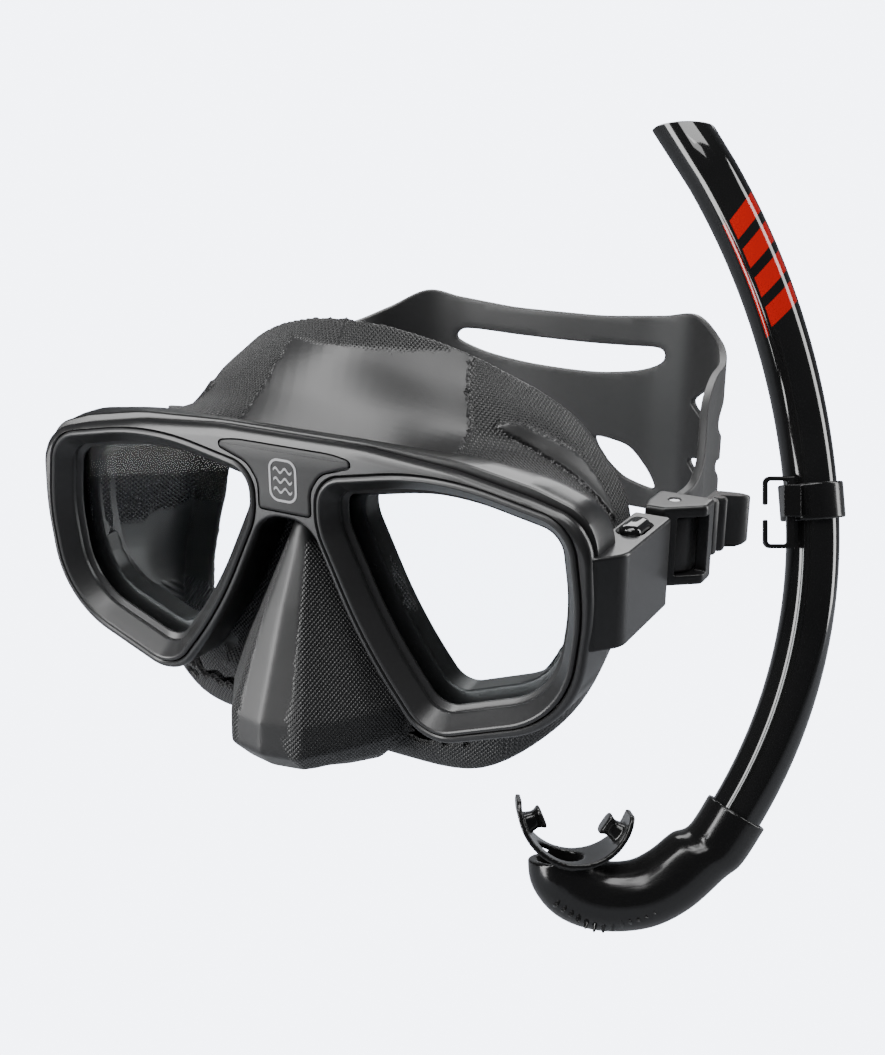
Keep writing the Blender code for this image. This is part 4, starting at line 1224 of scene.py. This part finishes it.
def makeMouthpiece():
    socketAt, socketLength, outer = tubeShape["socket"], 15.0, 12.1
    ends = [tubePoint(socketAt), tubePoint(socketAt - math.degrees(socketLength / tubeShape["lower"]))]
    rows = [[p, q, heading + 360.0, outer, outer] for p, q, heading in ends] + [list(row) for row in elbow]
    fine = curved(rows, 5, closed=False)
    piece = build("mouthpieceBody", *loft([ringAt(*row, sides=40) for row in fine]), "mouth")
    carve(piece, [makeFlange(), makeBite(0, 203.0), makeBite(1, 325.0)], "UNION")
    angles = np.linspace(socketAt + 2, tubeShape["end"] - 0.4, 6)
    socket = build("socketBore", *loft([ringAt(*tubePoint(a), 10.5, 10.5, 40) for a in angles]), "mouth")
    p, q, heading = tubePoint(tubeShape["end"] + 1)
    bore = [[p, q, heading + 360.0, mouthBore - 0.6, mouthBore - 0.6]]
    bore += [[p, q, h, mouthBore, mouthBore] for p, q, h, _, _ in elbow]
    p, q, heading = elbow[-1][:3]
    bore.append([p, q + 8, heading, mouthBore, mouthBore * 0.8])
    rings = [ringAt(*row, sides=32) for row in curved(bore, 4, closed=False)]
    way = build("breathingBore", *loft(rings), "mouth")
    carve(piece, [socket, way])
    soften(piece, 0.5, 5, 0.5, 0.8)
    own(piece, "mouthpiece", "mouth_silicone", "mouthpiece")


def makeFlange():
    steps, wide = 36, 14
    layers = []
    for radius in (flange["radius"], flange["radius"] - flange["thick"]):
        grid = []
        for i in range(steps + 1):
            t = i / steps
            angle = math.radians(flange["from"] + (flange["to"] - flange["from"]) * t)
            half = flange["half"] * (0.45 + 0.55 * math.sin(math.pi * t) ** 0.6)
            p = flange["centre"][0] + radius * math.cos(angle)
            q = flange["centre"][1] + radius * math.sin(angle)
            grid.append([inPlane(p, q, half * (2 * k / wide - 1)) for k in range(wide + 1)])
        layers.append(grid)
    loops = [np.array(o + n[::-1]) for o, n in zip(*layers)]
    return build("flangeBlank", *loft(loops), "mouth")


def makeBite(number, angle):
    turnTo = math.radians(angle)
    radial = np.array((math.cos(turnTo), math.sin(turnTo)))
    tangent = np.array((-math.sin(turnTo), math.cos(turnTo)))
    loops = []
    for reach, grow in ((21.8, 1.0), (17.0, 0.72), (15.5, 0.8), (14.4, 0.98), (13.6, 0.95), (13.3, 0.7)):
        middle = np.array(flange["centre"]) + radial * reach
        turns = np.linspace(0, 2 * math.pi, 20, endpoint=False)
        a = np.sign(np.cos(turns)) * np.abs(np.cos(turns)) ** 0.6 * 4.5 * grow
        b = np.sign(np.sin(turns)) * np.abs(np.sin(turns)) ** 0.6 * 5.5 * grow
        spots = middle + a[:, None] * tangent
        loops.append(inPlane(spots[:, 0], spots[:, 1], b))
    return build(f"biteBlank{number}", *loft(loops), "mouth")


def makeKeeper():
    keeper = {
        "radius": 12.2, "bore": 10.55, "top": 4.6, "bottom": -9.4,
        "barP": -10.6, "barN": 10.2, "bar": 1.5,  # the clip's bar beside the band
    }
    heading = tubeShape["keeper"] - 90.0
    along = (-math.sin(math.radians(tubeShape["keeper"])), math.cos(math.radians(tubeShape["keeper"])))

    def ring(radius, height):
        return ringAt(along[0] * height, along[1] * height, heading, radius, radius)

    top, bottom = keeper["top"], keeper["bottom"]
    outer, bored = keeper["radius"], keeper["bore"]
    levels = [
        (outer - 0.45, bottom), (outer, bottom + 0.5), (outer, top - 0.5),
        (outer - 0.45, top), (bored, top), (bored, bottom),
    ]
    band = build("keeperBand", *loft([ring(r, h) for r, h in levels], ring=True), "mouth")

    def bar(name, half, q0, q1):
        square = ((-half, -half), (half, -half), (half, half), (-half, half))
        spots = [(keeper["barP"] + p, keeper["barN"] + n) for p, n in square]
        loops = [np.array([inPlane(p, q, n) for p, n in spots]) for q in (q0, q1)]
        return build(name, *loft(loops), "mouth")

    reach, room = keeper["bar"] + 1.7, keeper["bar"] + 0.3
    carve(band, [bar("lugBlank", reach, bottom + 1, top - 1)], "UNION")
    bore = build("bandBore", *loft([ring(bored, h) for h in (bottom - 1, top + 1)]), "mouth")
    carve(band, [bar("barHole", room, bottom - 5, top + 5), bore])
    soften(band, 0.28, 3, 0.5, 0.6)
    own(band, "snorkel_keeper", "mouth_silicone", "keeper_band")
    clip = {"reach": 10.4, "wall": 1.7, "top": 6.8, "bottom": -20.4, "mouth": 5.5}
    left, wall = -clip["reach"], clip["wall"]
    middle = (clip["top"] + clip["bottom"]) / 2
    high, low = middle + clip["mouth"] / 2, middle - clip["mouth"] / 2
    b = keeper["bar"]
    # each half of the hook is the same corners, measured from its own end and its side of the mouth
    hook = []
    for end, inward, edge in ((clip["top"], -wall, high), (clip["bottom"], wall, low)):
        inside = end + inward
        hook.append([
            (b, end, 0.6), (left, end, 2.6), (left, edge, 0.7),
            (left + wall, edge, 0.7), (left + wall, inside, 1.2), (-b, inside, 0.8),
        ])
    rounding = ((0.5, -b), (0.12, -b + 0.35), (0.0, -b + 0.7), (0.0, b - 0.7), (0.12, b - 0.35), (0.5, b))
    loops = []
    for inset, n in rounding:
        outline = rounded(hook[0] + hook[1][::-1], inset * 0.9, 6)
        loops.append(inPlane(keeper["barP"] + outline[:, 0], outline[:, 1], keeper["barN"] + n))
    own(build("keeperClip", *loft(loops), "gloss", 40), "snorkel_keeper", "gloss_black", "keeper_clip")


def addRibs():
    group = bpy.data.node_groups.new("ribsAlongPath", "GeometryNodeTree")
    group.interface.new_socket("Geometry", in_out="OUTPUT", socket_type="NodeSocketGeometry")
    group.interface.new_socket("Geometry", in_out="INPUT", socket_type="NodeSocketGeometry")
    sizes = {"Count": "Int", "Length": "Float", "Width": "Float", "Lean": "Float"}
    names = {}
    for label, kind in sizes.items():
        socket = group.interface.new_socket(label, in_out="INPUT", socket_type=f"NodeSocket{kind}")
        names[label] = socket.identifier

    def node(kind, inputs=None, **settings):
        made = group.nodes.new(kind)
        for key, value in settings.items():
            setattr(made, key, value)
        for key, value in (inputs or {}).items():
            if isinstance(value, bpy.types.NodeSocket):
                group.links.new(value, made.inputs[key])
            else:
                made.inputs[key].default_value = value
        return made

    source, target = node("NodeGroupInput"), node("NodeGroupOutput")
    count, length, width, lean = [source.outputs[label] for label in sizes]
    resample = node("GeometryNodeResampleCurve", {"Curve": source.outputs["Geometry"], "Count": count})
    ball = node("GeometryNodeMeshIcoSphere", {"Radius": 1.0, "Subdivisions": 3})
    tangent = node("GeometryNodeInputTangent")
    align = node("FunctionNodeAlignRotationToVector", {"Vector": tangent.outputs[0]}, axis="X")
    tall = node("ShaderNodeMath", {0: width, 1: 4.2}, operation="MULTIPLY")
    size = node("ShaderNodeCombineXYZ", {0: width, 1: length, 2: tall.outputs[0]})
    tilt = node("ShaderNodeCombineXYZ", {2: lean})
    euler = node("FunctionNodeEulerToRotation", {0: tilt.outputs[0]})
    turns = {0: align.outputs[0], 1: euler.outputs[0]}
    twist = node("FunctionNodeRotateRotation", turns, rotation_space="LOCAL")
    copies = node("GeometryNodeInstanceOnPoints", {
        "Points": resample.outputs[0],
        "Instance": ball.outputs["Mesh"],
        "Rotation": twist.outputs[0],
        "Scale": size.outputs[0],
    })
    solid = node("GeometryNodeRealizeInstances", {0: copies.outputs[0]})
    smooth = node("GeometryNodeSetShadeSmooth", {0: solid.outputs[0]})
    paint = node("GeometryNodeSetMaterial", {0: smooth.outputs[0], "Material": finishes["mouth"].material})
    group.links.new(paint.outputs[0], target.inputs[0])

    ribs = {"Count": 13, "Length": 0.0012, "Width": 0.0008, "Lean": 0.5}
    underside = [(-62.0, -157.6), (-70.0, -161.4), (-79.0, -162.6), (-89.0, -160.8), (-99.0, -155.0)]
    line = curved(underside, 8, closed=False)
    spots = inPlane(line[:, 0], line[:, 1], 9.0)
    data = bpy.data.curves.new("ribPath", "CURVE")
    data.dimensions = "3D"
    spline = data.splines.new("POLY")
    spline.points.add(len(spots) - 1)
    for point, spot in zip(spline.points, spots):
        point.co = (*spot, 1.0)
    path = added("ribPath", data)
    maker = path.modifiers.new("ribs", "NODES")
    maker.node_group = group
    for label, value in ribs.items():
        maker[names[label]] = value
    bpy.context.view_layer.update()
    graph = bpy.context.evaluated_depsgraph_get()
    mesh = bpy.data.meshes.new_from_object(path.evaluated_get(graph))
    made = added("mouthpieceRibs", mesh)
    bpy.data.objects.remove(path)
    own(made, "mouthpiece", "mouth_silicone")


makeTube()
makeMouthpiece()
makeKeeper()
addRibs()
print("snorkel made")

for name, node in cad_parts.items():
    if name.startswith(("buckle_pin", "buckle_bar", "tab_spring")):
        for slot in node.material_slots:
            slot.material = finishes["steel"].material
print("metal parts finished")
